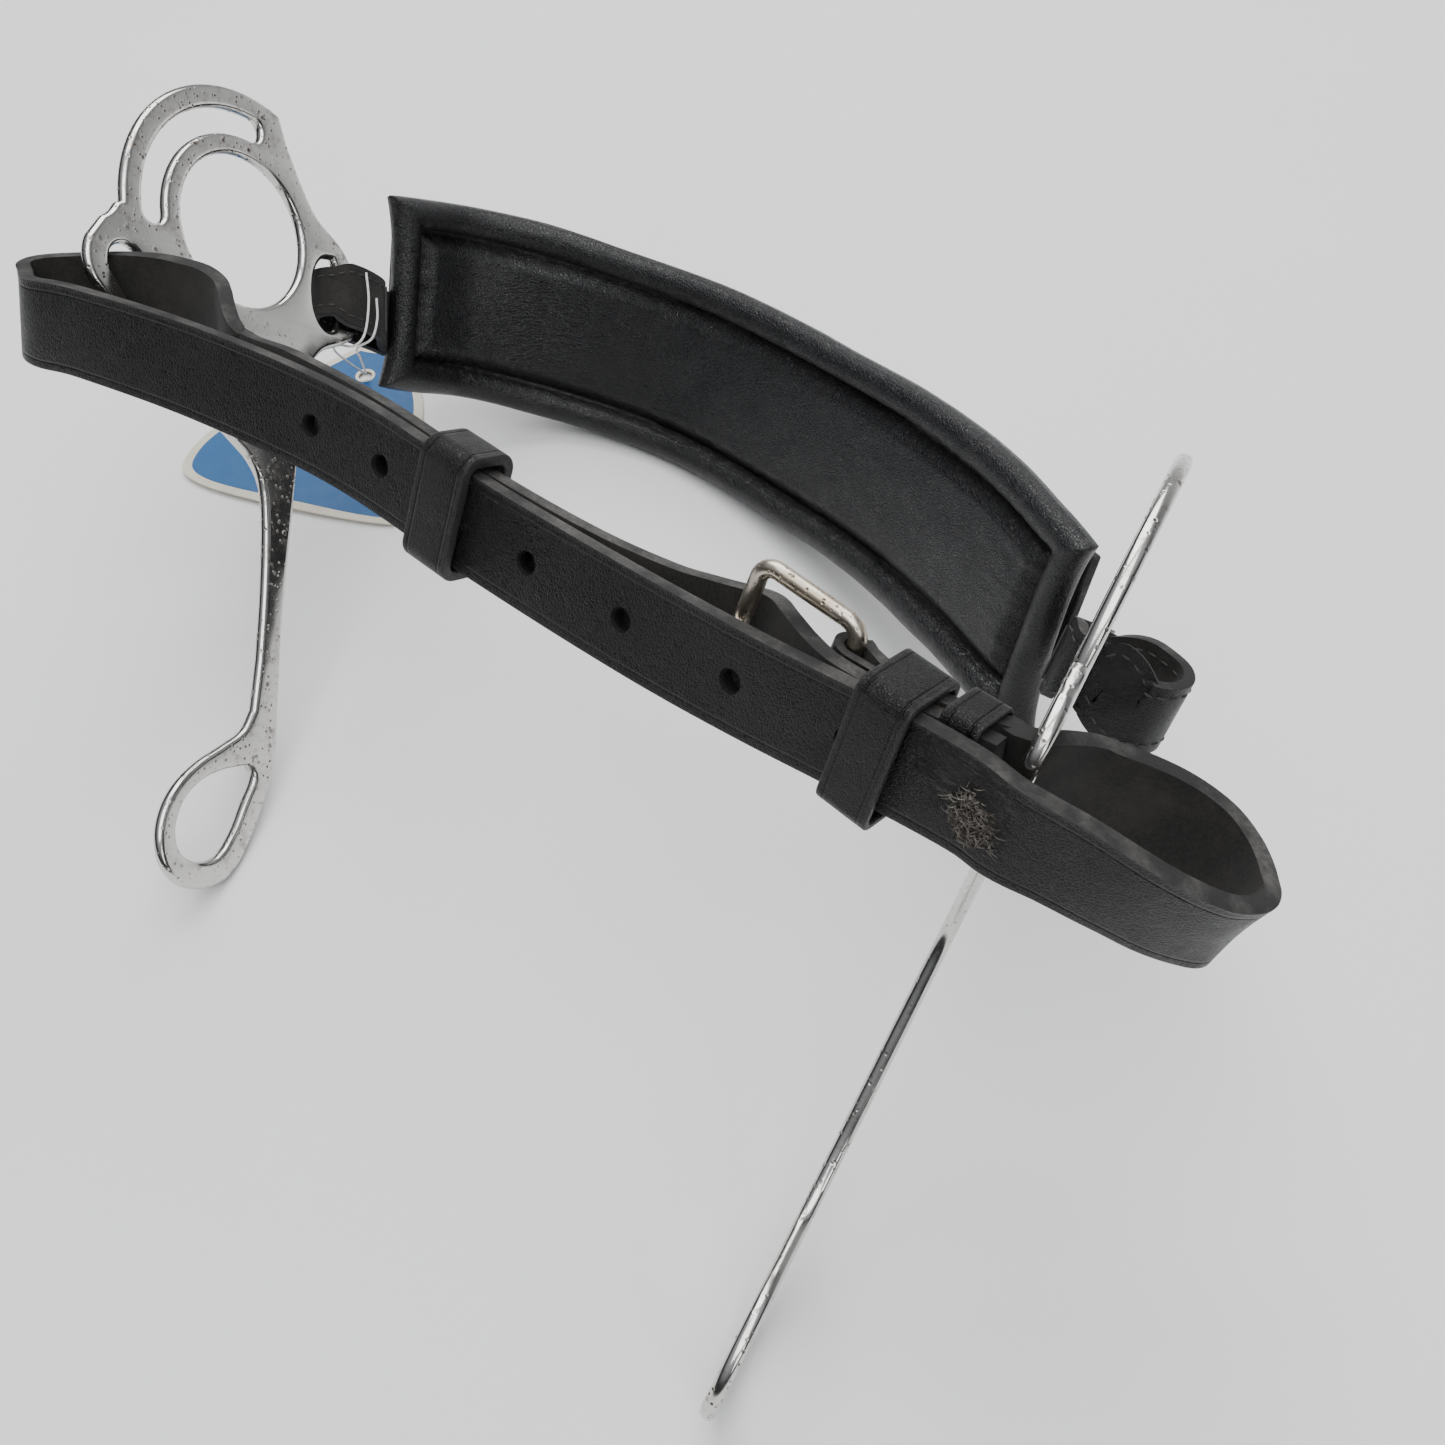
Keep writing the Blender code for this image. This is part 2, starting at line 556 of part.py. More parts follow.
# bight round the left cheek
for p, w in (((-121.0, -59.8, 101.6), (-0.05, 0.34, 0.94)),
             ((-127.4, -58.6, 100.4), (-0.04, 0.37, 0.93)),
             ((-130.2, -55.6, 99.6), (-0.06, 0.36, 0.93)),
             ((-129.6, -51.6, 99.2), (-0.14, 0.28, 0.95)),
             ((-124.8, -45.8, 98.8), (-0.30, 0.14, 0.94))):
    path.append((Vector(p), Vector(w), 1.0, STRAP_W))
path.append((slot_left, slot_up_left, 1.0, STRAP_W))
path.append((Vector((-103.4, -31.2, 99.4)), Vector((-0.33, 0.12, 0.93)), 1.0, STRAP_W))
path.append((Vector((-90.0, -31.4, 100.8)), Vector((-0.16, 0.28, 0.95)), 1.0, STRAP_W))
for x, d, h in ((-74, 12.4, -1.6), (-56, 9.0, -0.8), (-38, 6.0, -0.3), (-20, 4.4, 0), (8, 4.0, 0),
                (34, 5.6, 0.3), (52, 8.0, 0.8), (61, 10.2, 1.4), (69, 12.1, 1.9), (75, 11.4, 2.7),
                (81, 8.2, 2.7), (87, 5.4, 2.1), (93, 3.8, 1.2), (100, 3.6, 0.5), (107, 3.8, 0.2),
                (113, 4.7, 0), (118.5, 5.4, 0), (123.0, 5.7, 0), (126.2, 5.8, 0)):
    p, w, n, t = behind(x, d, h)
    path.append((p, w, 1.0, STRAP_W if x < 20 else BILLET_W + 0.3 if x < 45 else BILLET_W))

dense = spline([tuple(p) for p, _, _, _ in path], 8)
dense_w = spline([tuple(Vector(w).normalized()) for _, w, _, _ in path], 8)
dense_g = spline([(g, width, 0) for _, _, g, width in path], 8)


def thin_out(points, pitch):
    """Indices of a polyline that keep about a pitch, closer where it bends."""
    keep, run, turn = [0], 0.0, 0.0
    for i in range(1, len(points) - 1):
        a, b = points[i] - points[i - 1], points[i + 1] - points[i]
        run += a.length
        turn += a.angle(b) if a.length and b.length else 0
        if run > pitch or (turn > math.radians(9) and run > 0.8):
            keep.append(i)
            run = turn = 0.0
    return keep + [len(points) - 1]


keep = thin_out(dense, 6.5)
cs = [dense[i] for i in keep]
ws = squared([dense_w[i].normalized() for i in keep], cs)
gs = [min(1.0, max(thin, dense_g[i].x)) for i in keep]
wd = [dense_g[i].y for i in keep]
marks = [-1, -0.2, 0.2, 1]
# the slit that the buckle tongue comes through: in the fold, and in the billet in front of it
slit = set()
for i in range(len(cs) - 1):
    mid = (cs[i] + cs[i + 1]) / 2
    off = mid - bar_mid
    a, n = off.dot(frame_a), off.dot(frame_n)
    if i < len(cs) / 2 and abs(off.dot(frame_b)) < 4 and a < 4.6 and math.hypot(a, n) < fold_r * 2.0:
        slit.add((i, 1))
    if i > len(cs) / 2 and -15.5 < a < 3.6:
        slit.add((i, 1))
hole_cuts = []
for x in (-39, -18, 3, 25, 50, 77, 102):
    p, w, n, t = behind(x, 0)
    hole_cuts.append((frame(p, t, w), HOLE_D / 2, 4.0, 14))
curb = ribbon("curb_strap", cs, ws, wd, STRAP_T, STRAP, strap_axis,
              across=marks, skipped=slit, group=gs, cuts=hole_cuts)

# ---------------------------------------------------------------- buckle
buckle_axis = empty("buckle_swing", frame(bar_mid, frame_b, frame_a))


def rounded_rect(length, height, r, count=5):
    """Corner-rounded rectangle in (a, b), centred on the bar at a = 0."""
    pts = []
    for cx, cy, start in ((-r, height / 2 - r, 0), (-length + r, height / 2 - r, 90),
                          (-length + r, -height / 2 + r, 180), (-r, -height / 2 + r, 270)):
        pts += arc((cx, cy), r, start, start + 90, count)
    return pts


wire = [bar_mid + frame_a * p.x + frame_b * p.y for p in rounded_rect(FRAME_L, FRAME_H, 3.2)]
tube("buckle_frame", wire, WIRE_R, NICKEL, buckle_axis, resolution=2, cyclic=True)
TONGUE_R = 0.95
wrap_r = WIRE_R + TONGUE_R + 0.7
tongue = []
for k in range(0, 9):
    ang = math.radians(35 + 35 * k)          # from behind the bar round its back to the front
    tongue.append(bar_mid + frame_a * (wrap_r * math.cos(ang)) + frame_n * (wrap_r * math.sin(ang)))
tip_n = -(WIRE_R + TONGUE_R + 0.3)
for a, n in ((-6.5, -wrap_r + 0.15), (-13.0, tip_n + 0.1), (-FRAME_L, tip_n), (-FRAME_L - 3.2, tip_n + 0.3)):
    tongue.append(bar_mid + frame_a * a + frame_n * n)
tube("buckle_tongue", spline([tuple(p) for p in tongue], 2), TONGUE_R, NICKEL, buckle_axis,
     resolution=1)

# ---------------------------------------------------------------- keepers
def keeper(name, x, near, far, width, leather, inner_w, lift=0.0, skew=0.0, corner=1.2, lean=0.0):
    """A loop round the layers between two depths behind the front run."""
    p, w, n, t = behind(x, (near + far) / 2, lift)
    ang = math.radians(skew)
    w = w * math.cos(ang) + t * math.sin(ang)
    n = (n + t * math.tan(math.radians(lean))).normalized()
    m = frame(p, w, n)
    axis = empty(name + "_slide", m)
    return loop_plate(name, inner_w, far - near, leather, width, STRAP, axis, m, corner=corner)


keeper("left_keeper", 1.5, -STRAP_T / 2 - 0.9, 4.0 + STRAP_T / 2 + 1.1, 12.5, 2.4, STRAP_W + 2.4,
       lift=0.4, corner=1.8)
keeper("right_keeper", 106.3, -STRAP_T / 2 - 0.75, 8.25 + STRAP_T / 2 + 1.1, 11.0, 1.6,
       STRAP_W + 4.5, skew=10.0, lift=-0.2, corner=1.6)
keeper("fixed_keeper", 119.0, 5.3 - STRAP_T / 2 - 0.55, 9.2 + STRAP_T / 2 + 1.5, 7.6, 1.0,
       STRAP_W + 2.0, skew=5.0, lift=0.0, corner=1.2)

# ---------------------------------------------------------------- swing tag
tag_pts = [(-165, 56), (-172, 20), (-170, -12), (-154, -19), (-102, 2), (-100, 12), (-126, 46),
           (-150, 60)]
tag_loop = even(spline(flat(tag_pts + [tag_pts[0]]), 4), 9.0)[:-1]
tag_hole = ring_loop((-153, 46), 2.2, 12)
plate("swing_tag", [tag_loop, tag_hole], 0.7, 0.1, CARD, ROOT,
      WORLD.inverted() @ Matrix.Translation((FRAME_SHIFT[0], FRAME_SHIFT[1], 0.9)))
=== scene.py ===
"""Visual model of a bitless hackamore, over its CAD frame.

Every solid is rebuilt finer from the same control lines as the CAD, so that each
piece sits where its node sits; the nose pad is one soft lofted cushion.
"""
import math
import random

import bmesh
import bpy
from mathutils import Matrix, Vector, noise
from mathutils.geometry import interpolate_bezier


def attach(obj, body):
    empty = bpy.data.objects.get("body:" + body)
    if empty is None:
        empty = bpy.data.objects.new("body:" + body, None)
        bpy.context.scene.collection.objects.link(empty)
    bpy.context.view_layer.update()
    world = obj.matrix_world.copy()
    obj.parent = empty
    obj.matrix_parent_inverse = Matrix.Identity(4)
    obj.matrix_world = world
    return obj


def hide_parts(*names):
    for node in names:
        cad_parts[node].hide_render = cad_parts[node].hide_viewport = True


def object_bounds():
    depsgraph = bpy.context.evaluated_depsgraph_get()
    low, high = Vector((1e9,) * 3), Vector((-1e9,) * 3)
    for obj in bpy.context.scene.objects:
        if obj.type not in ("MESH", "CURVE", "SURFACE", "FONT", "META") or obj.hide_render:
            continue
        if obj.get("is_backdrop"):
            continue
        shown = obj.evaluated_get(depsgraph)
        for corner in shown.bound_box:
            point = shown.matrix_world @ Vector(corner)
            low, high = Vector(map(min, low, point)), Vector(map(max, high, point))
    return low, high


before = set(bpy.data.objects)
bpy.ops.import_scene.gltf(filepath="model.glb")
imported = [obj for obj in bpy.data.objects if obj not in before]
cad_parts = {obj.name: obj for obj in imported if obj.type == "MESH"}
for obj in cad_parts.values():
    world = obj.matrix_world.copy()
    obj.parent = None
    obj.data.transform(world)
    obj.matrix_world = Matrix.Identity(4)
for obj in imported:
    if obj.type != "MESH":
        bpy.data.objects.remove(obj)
bounds_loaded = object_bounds()
random.seed(7)
MM = 0.001

# ---------------------------------------------------------------- dimensions
PLATE_T = 3.2            # cheek plate thickness
PLATE_BEVEL = 0.9        # rounding of the stamped edges
EYE_R = 19.0             # large cheek hole
CRESCENT_R = (24.0, 30.0)
CRESCENT_DEG = (86.0, 187.0)
DISC_R = 35.6            # head disc of the cheek
SLOT_W = 8.6             # curb strap slot in the cheek
SLOT_L = 25.6
SLOT_TOP = (-34.3, -18.2)
SLOT_DIR_DEG = -50.3     # slot axis in the plate
NOSE_V = -8.0            # height of the nose tab on the cheek
STRAP_W = 20.5           # curb strap width
STRAP_T = 3.2            # curb strap thickness
SKIVE_T = 1.8            # thinned chape fold
HOLE_D = 4.2             # punched strap holes
PAD_W = (52.0, 57.5)     # noseband pad width at its ends and middle
ROLL_R = 4.3             # padded border roll
TAB_W = 17.0             # nose tab width
TAB_T = 2.4              # nose tab leather
WIRE_R = 1.7             # buckle wire
THREAD_R = 0.3           # seam thread
GAP = 0.3                # gap between touching pieces

# offset from the design frame to the frame whose origin is under the middle
TILT_DEG = (-1.785, 0.42)    # small turns about X and Y that bring both rein rings and the pad down
FRAME_SHIFT = (-0.6, 11.57, -2.37)
WORLD = (Matrix.Translation(FRAME_SHIFT) @ Matrix.Rotation(math.radians(TILT_DEG[0]), 4, "X")
         @ Matrix.Rotation(math.radians(TILT_DEG[1]), 4, "Y"))



# ---------------------------------------------------------------- materials


def new_mat(name):
    mat = bpy.data.materials.new(name)
    mat.use_nodes = True
    nt = mat.node_tree
    nt.nodes.clear()
    out = nt.nodes.new("ShaderNodeOutputMaterial")
    bsdf = nt.nodes.new("ShaderNodeBsdfPrincipled")
    nt.links.new(bsdf.outputs[0], out.inputs[0])
    return mat, nt, bsdf


def coords(nt, kind="Object"):
    node = nt.nodes.new("ShaderNodeTexCoord")
    return node.outputs[kind]


def fractal(nt, vector, scale, detail=6.0, rough=0.6, distortion=0.0):
    node = nt.nodes.new("ShaderNodeTexNoise")
    node.inputs["Scale"].default_value = scale
    node.inputs["Detail"].default_value = detail
    node.inputs["Roughness"].default_value = rough
    node.inputs["Distortion"].default_value = distortion
    nt.links.new(vector, node.inputs["Vector"])
    return node.outputs["Fac"]


def cells(nt, vector, scale, feature="F1", output="Distance", jitter=1.0):
    node = nt.nodes.new("ShaderNodeTexVoronoi")
    node.feature = feature
    node.inputs["Scale"].default_value = scale
    node.inputs["Randomness"].default_value = jitter
    nt.links.new(vector, node.inputs["Vector"])
    return node.outputs[output]


def ramp(nt, value, stops, smooth_between=False):
    node = nt.nodes.new("ShaderNodeValToRGB")
    if smooth_between:
        node.color_ramp.interpolation = "EASE"
    els = node.color_ramp.elements
    while len(els) < len(stops):
        els.new(0.5)
    for el, (pos, col) in zip(els, stops):
        el.position = pos
        el.color = (*col, 1) if len(col) == 3 else col
    nt.links.new(value, node.inputs[0])
    return node.outputs[0]


def grey(v):
    return (v, v, v)


def calc(nt, op, a, b=None, c=None, clamp=False):
    node = nt.nodes.new("ShaderNodeMath")
    node.operation = op
    node.use_clamp = clamp
    for i, x in enumerate((a, b, c)):
        if x is None:
            continue
        if isinstance(x, (int, float)):
            node.inputs[i].default_value = x
        else:
            nt.links.new(x, node.inputs[i])
    return node.outputs[0]


def blend_colour(nt, fac, a, b, mode="MIX"):
    node = nt.nodes.new("ShaderNodeMix")
    node.data_type = "RGBA"
    node.blend_type = mode
    nt.links.new(fac, node.inputs["Factor"])
    for sock, x in ((node.inputs["A"], a), (node.inputs["B"], b)):
        pass
    ia, ib = [s for s in node.inputs if s.type == "RGBA"][:2]
    for sock, x in ((ia, a), (ib, b)):
        if isinstance(x, tuple):
            sock.default_value = (*x, 1)
        else:
            nt.links.new(x, sock)
    return [s for s in node.outputs if s.type == "RGBA"][0]


def bump(nt, bsdf, *layers):
    """layers are (height, strength, distance in metres), the first one lowest."""
    last = None
    for height, strength, distance in layers:
        node = nt.nodes.new("ShaderNodeBump")
        node.inputs["Strength"].default_value = strength
        node.inputs["Distance"].default_value = distance
        nt.links.new(height, node.inputs["Height"])
        if last:
            nt.links.new(last, node.inputs["Normal"])
        last = node.outputs[0]
    nt.links.new(last, bsdf.inputs["Normal"])


def steel_material():
    """Polished forged steel: hair scratches, dull spots and brown pits."""
    mat, nt, bsdf = new_mat("v_steel")
    bsdf.inputs["Metallic"].default_value = 1.0
    c = coords(nt)
    area = fractal(nt, c, 26, 3, 0.55)
    patch = ramp(nt, area, [(0.37, grey(0)), (0.60, grey(1))])
    specks = ramp(nt, cells(nt, c, 620), [(0.10, grey(1)), (0.26, grey(0))])
    big = ramp(nt, cells(nt, c, 210), [(0.05, grey(1)), (0.17, grey(0))])
    film = ramp(nt, fractal(nt, c, 340, 8, 0.75), [(0.50, grey(0)), (0.72, grey(1))])
    pits = calc(nt, "MULTIPLY", calc(nt, "MAXIMUM", specks, big), patch, clamp=True)
    stain = calc(nt, "MULTIPLY", film, patch, clamp=True)
    scratch_map = nt.nodes.new("ShaderNodeMapping")
    scratch_map.inputs["Scale"].default_value = (40, 900, 900)
    scratch_map.inputs["Rotation"].default_value = (0, 0, 0.4)
    nt.links.new(c, scratch_map.inputs["Vector"])
    scratch = fractal(nt, scratch_map.outputs[0], 3.0, 4, 0.6)
    clean = blend_colour(nt, stain, (0.60, 0.59, 0.57), (0.235, 0.20, 0.168))
    nt.links.new(blend_colour(nt, pits, clean, (0.085, 0.062, 0.044)), bsdf.inputs["Base Color"])
    rough = calc(nt, "MULTIPLY_ADD", stain, 0.24,
                 ramp(nt, fractal(nt, c, 90, 5, 0.6), [(0.3, grey(0.10)), (0.75, grey(0.23))]))
    nt.links.new(calc(nt, "MULTIPLY_ADD", pits, 0.35, rough), bsdf.inputs["Roughness"])
    bump(nt, bsdf, (fractal(nt, c, 55, 2, 0.5), 0.30, 0.0009), (scratch, 0.10, 0.00005),
         (calc(nt, "SUBTRACT", 1.0, pits), 0.5, 0.00022))
    return mat


def nickel_material():
    """Warm nickel plate, worn and pitted."""
    mat, nt, bsdf = new_mat("v_nickel")
    bsdf.inputs["Metallic"].default_value = 1.0
    c = coords(nt)
    patch = ramp(nt, fractal(nt, c, 60, 4, 0.6), [(0.40, grey(0)), (0.66, grey(1))])
    pits = calc(nt, "MULTIPLY", ramp(nt, cells(nt, c, 900), [(0.12, grey(1)), (0.34, grey(0))]), patch, clamp=True)
    base = blend_colour(nt, patch, (0.64, 0.59, 0.51), (0.42, 0.36, 0.28))
    nt.links.new(blend_colour(nt, pits, base, (0.14, 0.10, 0.07)), bsdf.inputs["Base Color"])
    rough = ramp(nt, fractal(nt, c, 260, 6, 0.65), [(0.3, grey(0.20)), (0.8, grey(0.46))])
    nt.links.new(calc(nt, "MULTIPLY_ADD", pits, 0.3, rough), bsdf.inputs["Roughness"])
    bump(nt, bsdf, (fractal(nt, c, 150, 3, 0.5), 0.3, 0.0003),
         (calc(nt, "SUBTRACT", 1.0, pits), 0.7, 0.00022))
    return mat


def grain(nt, c, size):
    """Leather grain: small raised cells with fine creases between them."""
    ridges = cells(nt, c, size, "DISTANCE_TO_EDGE")
    big = cells(nt, c, size * 0.42, "DISTANCE_TO_EDGE")
    a = ramp(nt, ridges, [(0.0, grey(0)), (0.16, grey(1))], True)
    b = ramp(nt, big, [(0.0, grey(0.35)), (0.05, grey(1))], True)
    return calc(nt, "MULTIPLY", a, b)


def edge_distance(nt, half, side="UV"):
    """Millimetres in from a strap's edge, from its UV map, or from a keeper's own z."""
    sep = nt.nodes.new("ShaderNodeSeparateXYZ")
    nt.links.new(coords(nt, side), sep.inputs[0])
    across = sep.outputs[1] if side == "UV" else calc(nt, "MULTIPLY", sep.outputs[2], 1000.0)
    return calc(nt, "SUBTRACT", half, calc(nt, "ABSOLUTE", across)), sep


def leather_material(name, colour, worn, half=None, side="UV", rough=(0.28, 0.46), size=1250, crease=2.1,
                     marks=(), cracks=0.25, strength=0.6, sheen=0.0):
    mat, nt, bsdf = new_mat(name)
    c = coords(nt)
    wear = ramp(nt, fractal(nt, c, 70, 7, 0.66), [(0.42, grey(0)), (0.78, grey(1))])
    dust = ramp(nt, fractal(nt, c, 520, 8, 0.7), [(0.54, grey(0)), (0.74, grey(1))])
    tone = blend_colour(nt, wear, colour, worn)
    tone = blend_colour(nt, calc(nt, "MULTIPLY", dust, 0.22), tone, (0.035, 0.034, 0.033))
    roughness = ramp(nt, fractal(nt, c, 140, 5, 0.6), [(0.3, grey(rough[0])), (0.75, grey(rough[1]))])
    layers = [(fractal(nt, c, 130, 4, 0.55), 0.35, 0.0006), (grain(nt, c, size), strength, 0.00018)]
    crack = ramp(nt, cells(nt, c, 330, "DISTANCE_TO_EDGE"), [(0.0, grey(0)), (0.045, grey(1))])
    crack_area = ramp(nt, fractal(nt, c, 48, 3, 0.5), [(0.46, grey(0)), (0.62, grey(cracks))])
    crack_depth = calc(nt, "MULTIPLY", calc(nt, "SUBTRACT", 1.0, crack), crack_area, clamp=True)
    layers.append((calc(nt, "SUBTRACT", 1.0, crack_depth), 0.6, 0.0003))
    if half:
        inset, sep = edge_distance(nt, half, side)
        groove = ramp(nt, calc(nt, "DIVIDE", inset, 6.0),
                      [(crease / 6 - 0.07, grey(1)), (crease / 6, grey(0)), (crease / 6 + 0.07, grey(1))], True)
        layers.append((groove, 0.75, 0.00045))
        rubbed = ramp(nt, calc(nt, "ADD", calc(nt, "DIVIDE", inset, 4.0),
                               calc(nt, "MULTIPLY", fractal(nt, c, 600, 5, 0.7), 0.35)),
                      [(0.16, grey(1)), (0.42, grey(0))])
        tone = blend_colour(nt, calc(nt, "MULTIPLY", rubbed, 0.45), tone, (0.055, 0.052, 0.05))
    for centre, radii, kind in marks:
        centre = WORLD @ (Vector(centre) / MM) * MM
        at = nt.nodes.new("ShaderNodeMapping")
        at.vector_type = "TEXTURE"
        at.inputs["Location"].default_value = centre
        at.inputs["Scale"].default_value = radii
        nt.links.new(c, at.inputs["Vector"])
        ball = nt.nodes.new("ShaderNodeVectorMath")
        ball.operation = "LENGTH"
        nt.links.new(at.outputs[0], ball.inputs[0])
        ragged = calc(nt, "ADD", ball.outputs["Value"],
                      calc(nt, "MULTIPLY", calc(nt, "SUBTRACT", fractal(nt, c, 260, 8, 0.72), 0.5), 2.1))
        torn = ramp(nt, ragged, [(0.62, grey(1)), (0.80, grey(0))])
        fibre_map = nt.nodes.new("ShaderNodeMapping")
        fibre_map.inputs["Scale"].default_value = (420, 420, 2400)
        nt.links.new(c, fibre_map.inputs["Vector"])
        fibre = fractal(nt, fibre_map.outputs[0], 1.0, 6, 0.75)
        if kind == "fray":
            inside = ramp(nt, fibre, [(0.36, (0.012, 0.011, 0.010)), (0.50, (0.06, 0.054, 0.048)),
                                      (0.66, (0.20, 0.18, 0.16))])
            tone = blend_colour(nt, torn, tone, inside)
            roughness = calc(nt, "MAXIMUM", roughness, calc(nt, "MULTIPLY", torn, 0.95))
            layers.append((calc(nt, "MULTIPLY", torn, calc(nt, "SUBTRACT", fibre, 0.9)), 0.9, 0.0011))
        else:
            lines = ramp(nt, fractal(nt, fibre_map.outputs[0], 0.42, 7, 0.7, 0.6),
                         [(0.44, grey(0)), (0.52, grey(1))])
            layers.append((calc(nt, "MULTIPLY", torn, lines), 0.85, 0.0007))
            tone = blend_colour(nt, calc(nt, "MULTIPLY", torn, calc(nt, "SUBTRACT", 1.0, lines)), tone,
                                (0.020, 0.0185, 0.017))
    nt.links.new(tone, bsdf.inputs["Base Color"])
    nt.links.new(roughness, bsdf.inputs["Roughness"])
    bsdf.inputs["Specular IOR Level"].default_value = 0.24
    bsdf.inputs["Sheen Weight"].default_value = sheen
    bsdf.inputs["Sheen Roughness"].default_value = 0.4
    bump(nt, bsdf, *layers)
    return mat


def suede_material():
    mat, nt, bsdf = new_mat("v_suede")
    c = coords(nt)
    nap = fractal(nt, c, 1500, 8, 0.8)
    soil = fractal(nt, c, 90, 5, 0.6)
    tone = ramp(nt, nap, [(0.32, (0.006, 0.0058, 0.0058)), (0.62, (0.022, 0.0205, 0.019))])
    tone = blend_colour(nt, ramp(nt, soil, [(0.42, grey(0)), (0.72, grey(0.6))]), tone, (0.045, 0.041, 0.037))
    nt.links.new(tone, bsdf.inputs["Base Color"])
    nt.links.new(ramp(nt, soil, [(0.2, grey(0.86)), (0.8, grey(0.97))]), bsdf.inputs["Roughness"])
    bsdf.inputs["Sheen Weight"].default_value = 0.06
    bsdf.inputs["Specular IOR Level"].default_value = 0.25
    bump(nt, bsdf, (nap, 0.6, 0.0003))
    return mat


def edge_material():
    """The cut edge of a strap: fibrous, rubbed grey in places."""
    mat, nt, bsdf = new_mat("v_cut_edge")
    c = coords(nt)
    fibre = fractal(nt, c, 1100, 8, 0.78)
    area = fractal(nt, c, 75, 5, 0.6)
    dark = ramp(nt, fibre, [(0.34, (0.005, 0.005, 0.005)), (0.66, (0.018, 0.017, 0.016))])
    light = ramp(nt, fibre, [(0.34, (0.024, 0.023, 0.022)), (0.66, (0.11, 0.105, 0.10))])
    nt.links.new(blend_colour(nt, ramp(nt, area, [(0.44, grey(0)), (0.66, grey(1))]), dark, light),
                 bsdf.inputs["Base Color"])
    nt.links.new(ramp(nt, fibre, [(0.2, grey(0.7)), (0.8, grey(0.92))]), bsdf.inputs["Roughness"])
    bump(nt, bsdf, (fibre, 0.55, 0.0003))
    return mat


def nappa_material():
    """Soft black pad leather: fine grain, little puckers by the seam."""
    mat, nt, bsdf = new_mat("v_pad_leather")
    c = coords(nt)
    tone = ramp(nt, fractal(nt, c, 60, 6, 0.62), [(0.35, (0.0030, 0.0031, 0.0038)), (0.75, (0.0070, 0.0070, 0.0078))])
    dust = ramp(nt, fractal(nt, c, 700, 8, 0.72), [(0.60, grey(0)), (0.78, grey(0.45))])
    nt.links.new(blend_colour(nt, dust, tone, (0.05, 0.049, 0.047)), bsdf.inputs["Base Color"])
    nt.links.new(ramp(nt, fractal(nt, c, 170, 5, 0.6), [(0.3, grey(0.30)), (0.75, grey(0.43))]),
                 bsdf.inputs["Roughness"])
    bsdf.inputs["Specular IOR Level"].default_value = 0.42
    bsdf.inputs["Sheen Weight"].default_value = 0.0
    bump(nt, bsdf, (fractal(nt, c, 110, 3, 0.5), 0.45, 0.0010),
         (fractal(nt, c, 430, 3, 0.5, 0.3), 0.35, 0.00035), (grain(nt, c, 1250), 0.5, 0.00022))
    return mat


def thread_material():
    mat, nt, bsdf = new_mat("v_thread")
    c = coords(nt)
    twist = fractal(nt, c, 3200, 4, 0.6)
    nt.links.new(ramp(nt, twist, [(0.35, (0.012, 0.012, 0.013)), (0.65, (0.045, 0.044, 0.043))]),
                 bsdf.inputs["Base Color"])
    nt.links.new(ramp(nt, twist, [(0.2, grey(0.6)), (0.8, grey(0.85))]), bsdf.inputs["Roughness"])
    bump(nt, bsdf, (twist, 0.6, 0.00012))
    return mat


def card_material(name, colour, spots):
    mat, nt, bsdf = new_mat(name)
    c = coords(nt)
    soil = fractal(nt, c, 120, 7, 0.7)
    nt.links.new(blend_colour(nt, ramp(nt, soil, [(0.45, grey(0)), (0.8, grey(0.5))]), colour, spots),
                 bsdf.inputs["Base Color"])
    nt.links.new(ramp(nt, fractal(nt, c, 500, 5, 0.6), [(0.2, grey(0.42)), (0.8, grey(0.62))]),
                 bsdf.inputs["Roughness"])
    bump(nt, bsdf, (fractal(nt, c, 900, 6, 0.7), 0.25, 0.00012))
    return mat


def fibre_material(name, low, high):
    mat, nt, bsdf = new_mat(name)
    c = coords(nt)
    tone = fractal(nt, c, 700, 5, 0.7)
    nt.links.new(ramp(nt, tone, [(0.36, low), (0.64, high)]), bsdf.inputs["Base Color"])
    nt.links.new(ramp(nt, tone, [(0.2, grey(0.8)), (0.8, grey(0.95))]), bsdf.inputs["Roughness"])
    bump(nt, bsdf, (fractal(nt, c, 4200, 3, 0.6), 0.5, 0.0001))
    return mat


FIBRE = fibre_material("v_fibre", (0.035, 0.030, 0.026), (0.22, 0.20, 0.175))
COTTON = fibre_material("v_cotton", (0.52, 0.52, 0.50), (0.78, 0.78, 0.76))
STEEL = steel_material()
NICKEL = nickel_material()
SUEDE = suede_material()
EDGE = edge_material()
NAPPA = nappa_material()
THREAD = thread_material()
CREAM = card_material("v_cream_card", (0.70, 0.66, 0.55), (0.42, 0.36, 0.26))
CARD = card_material("v_blue_card", (0.0, 0.085, 0.255), (0.01, 0.12, 0.27))
STRAP_GRAIN = leather_material(
    "v_strap_grain", (0.0030, 0.0030, 0.0034), (0.0085, 0.0082, 0.008), half=10.25, crease=1.9,
    marks=[((0.1255, -0.0480, 0.1240), (0.0120, 0.010, 0.0100), "crack"),
           ((0.1280, -0.0495, 0.1185), (0.0052, 0.006, 0.0075), "fray"),
           ((0.0880, -0.0210, 0.1120), (0.0075, 0.012, 0.0135), "crack")], cracks=0.35)
TAB_GRAIN = leather_material("v_tab_grain", (0.0035, 0.0035, 0.004), (0.010, 0.0098, 0.0095), size=1700)
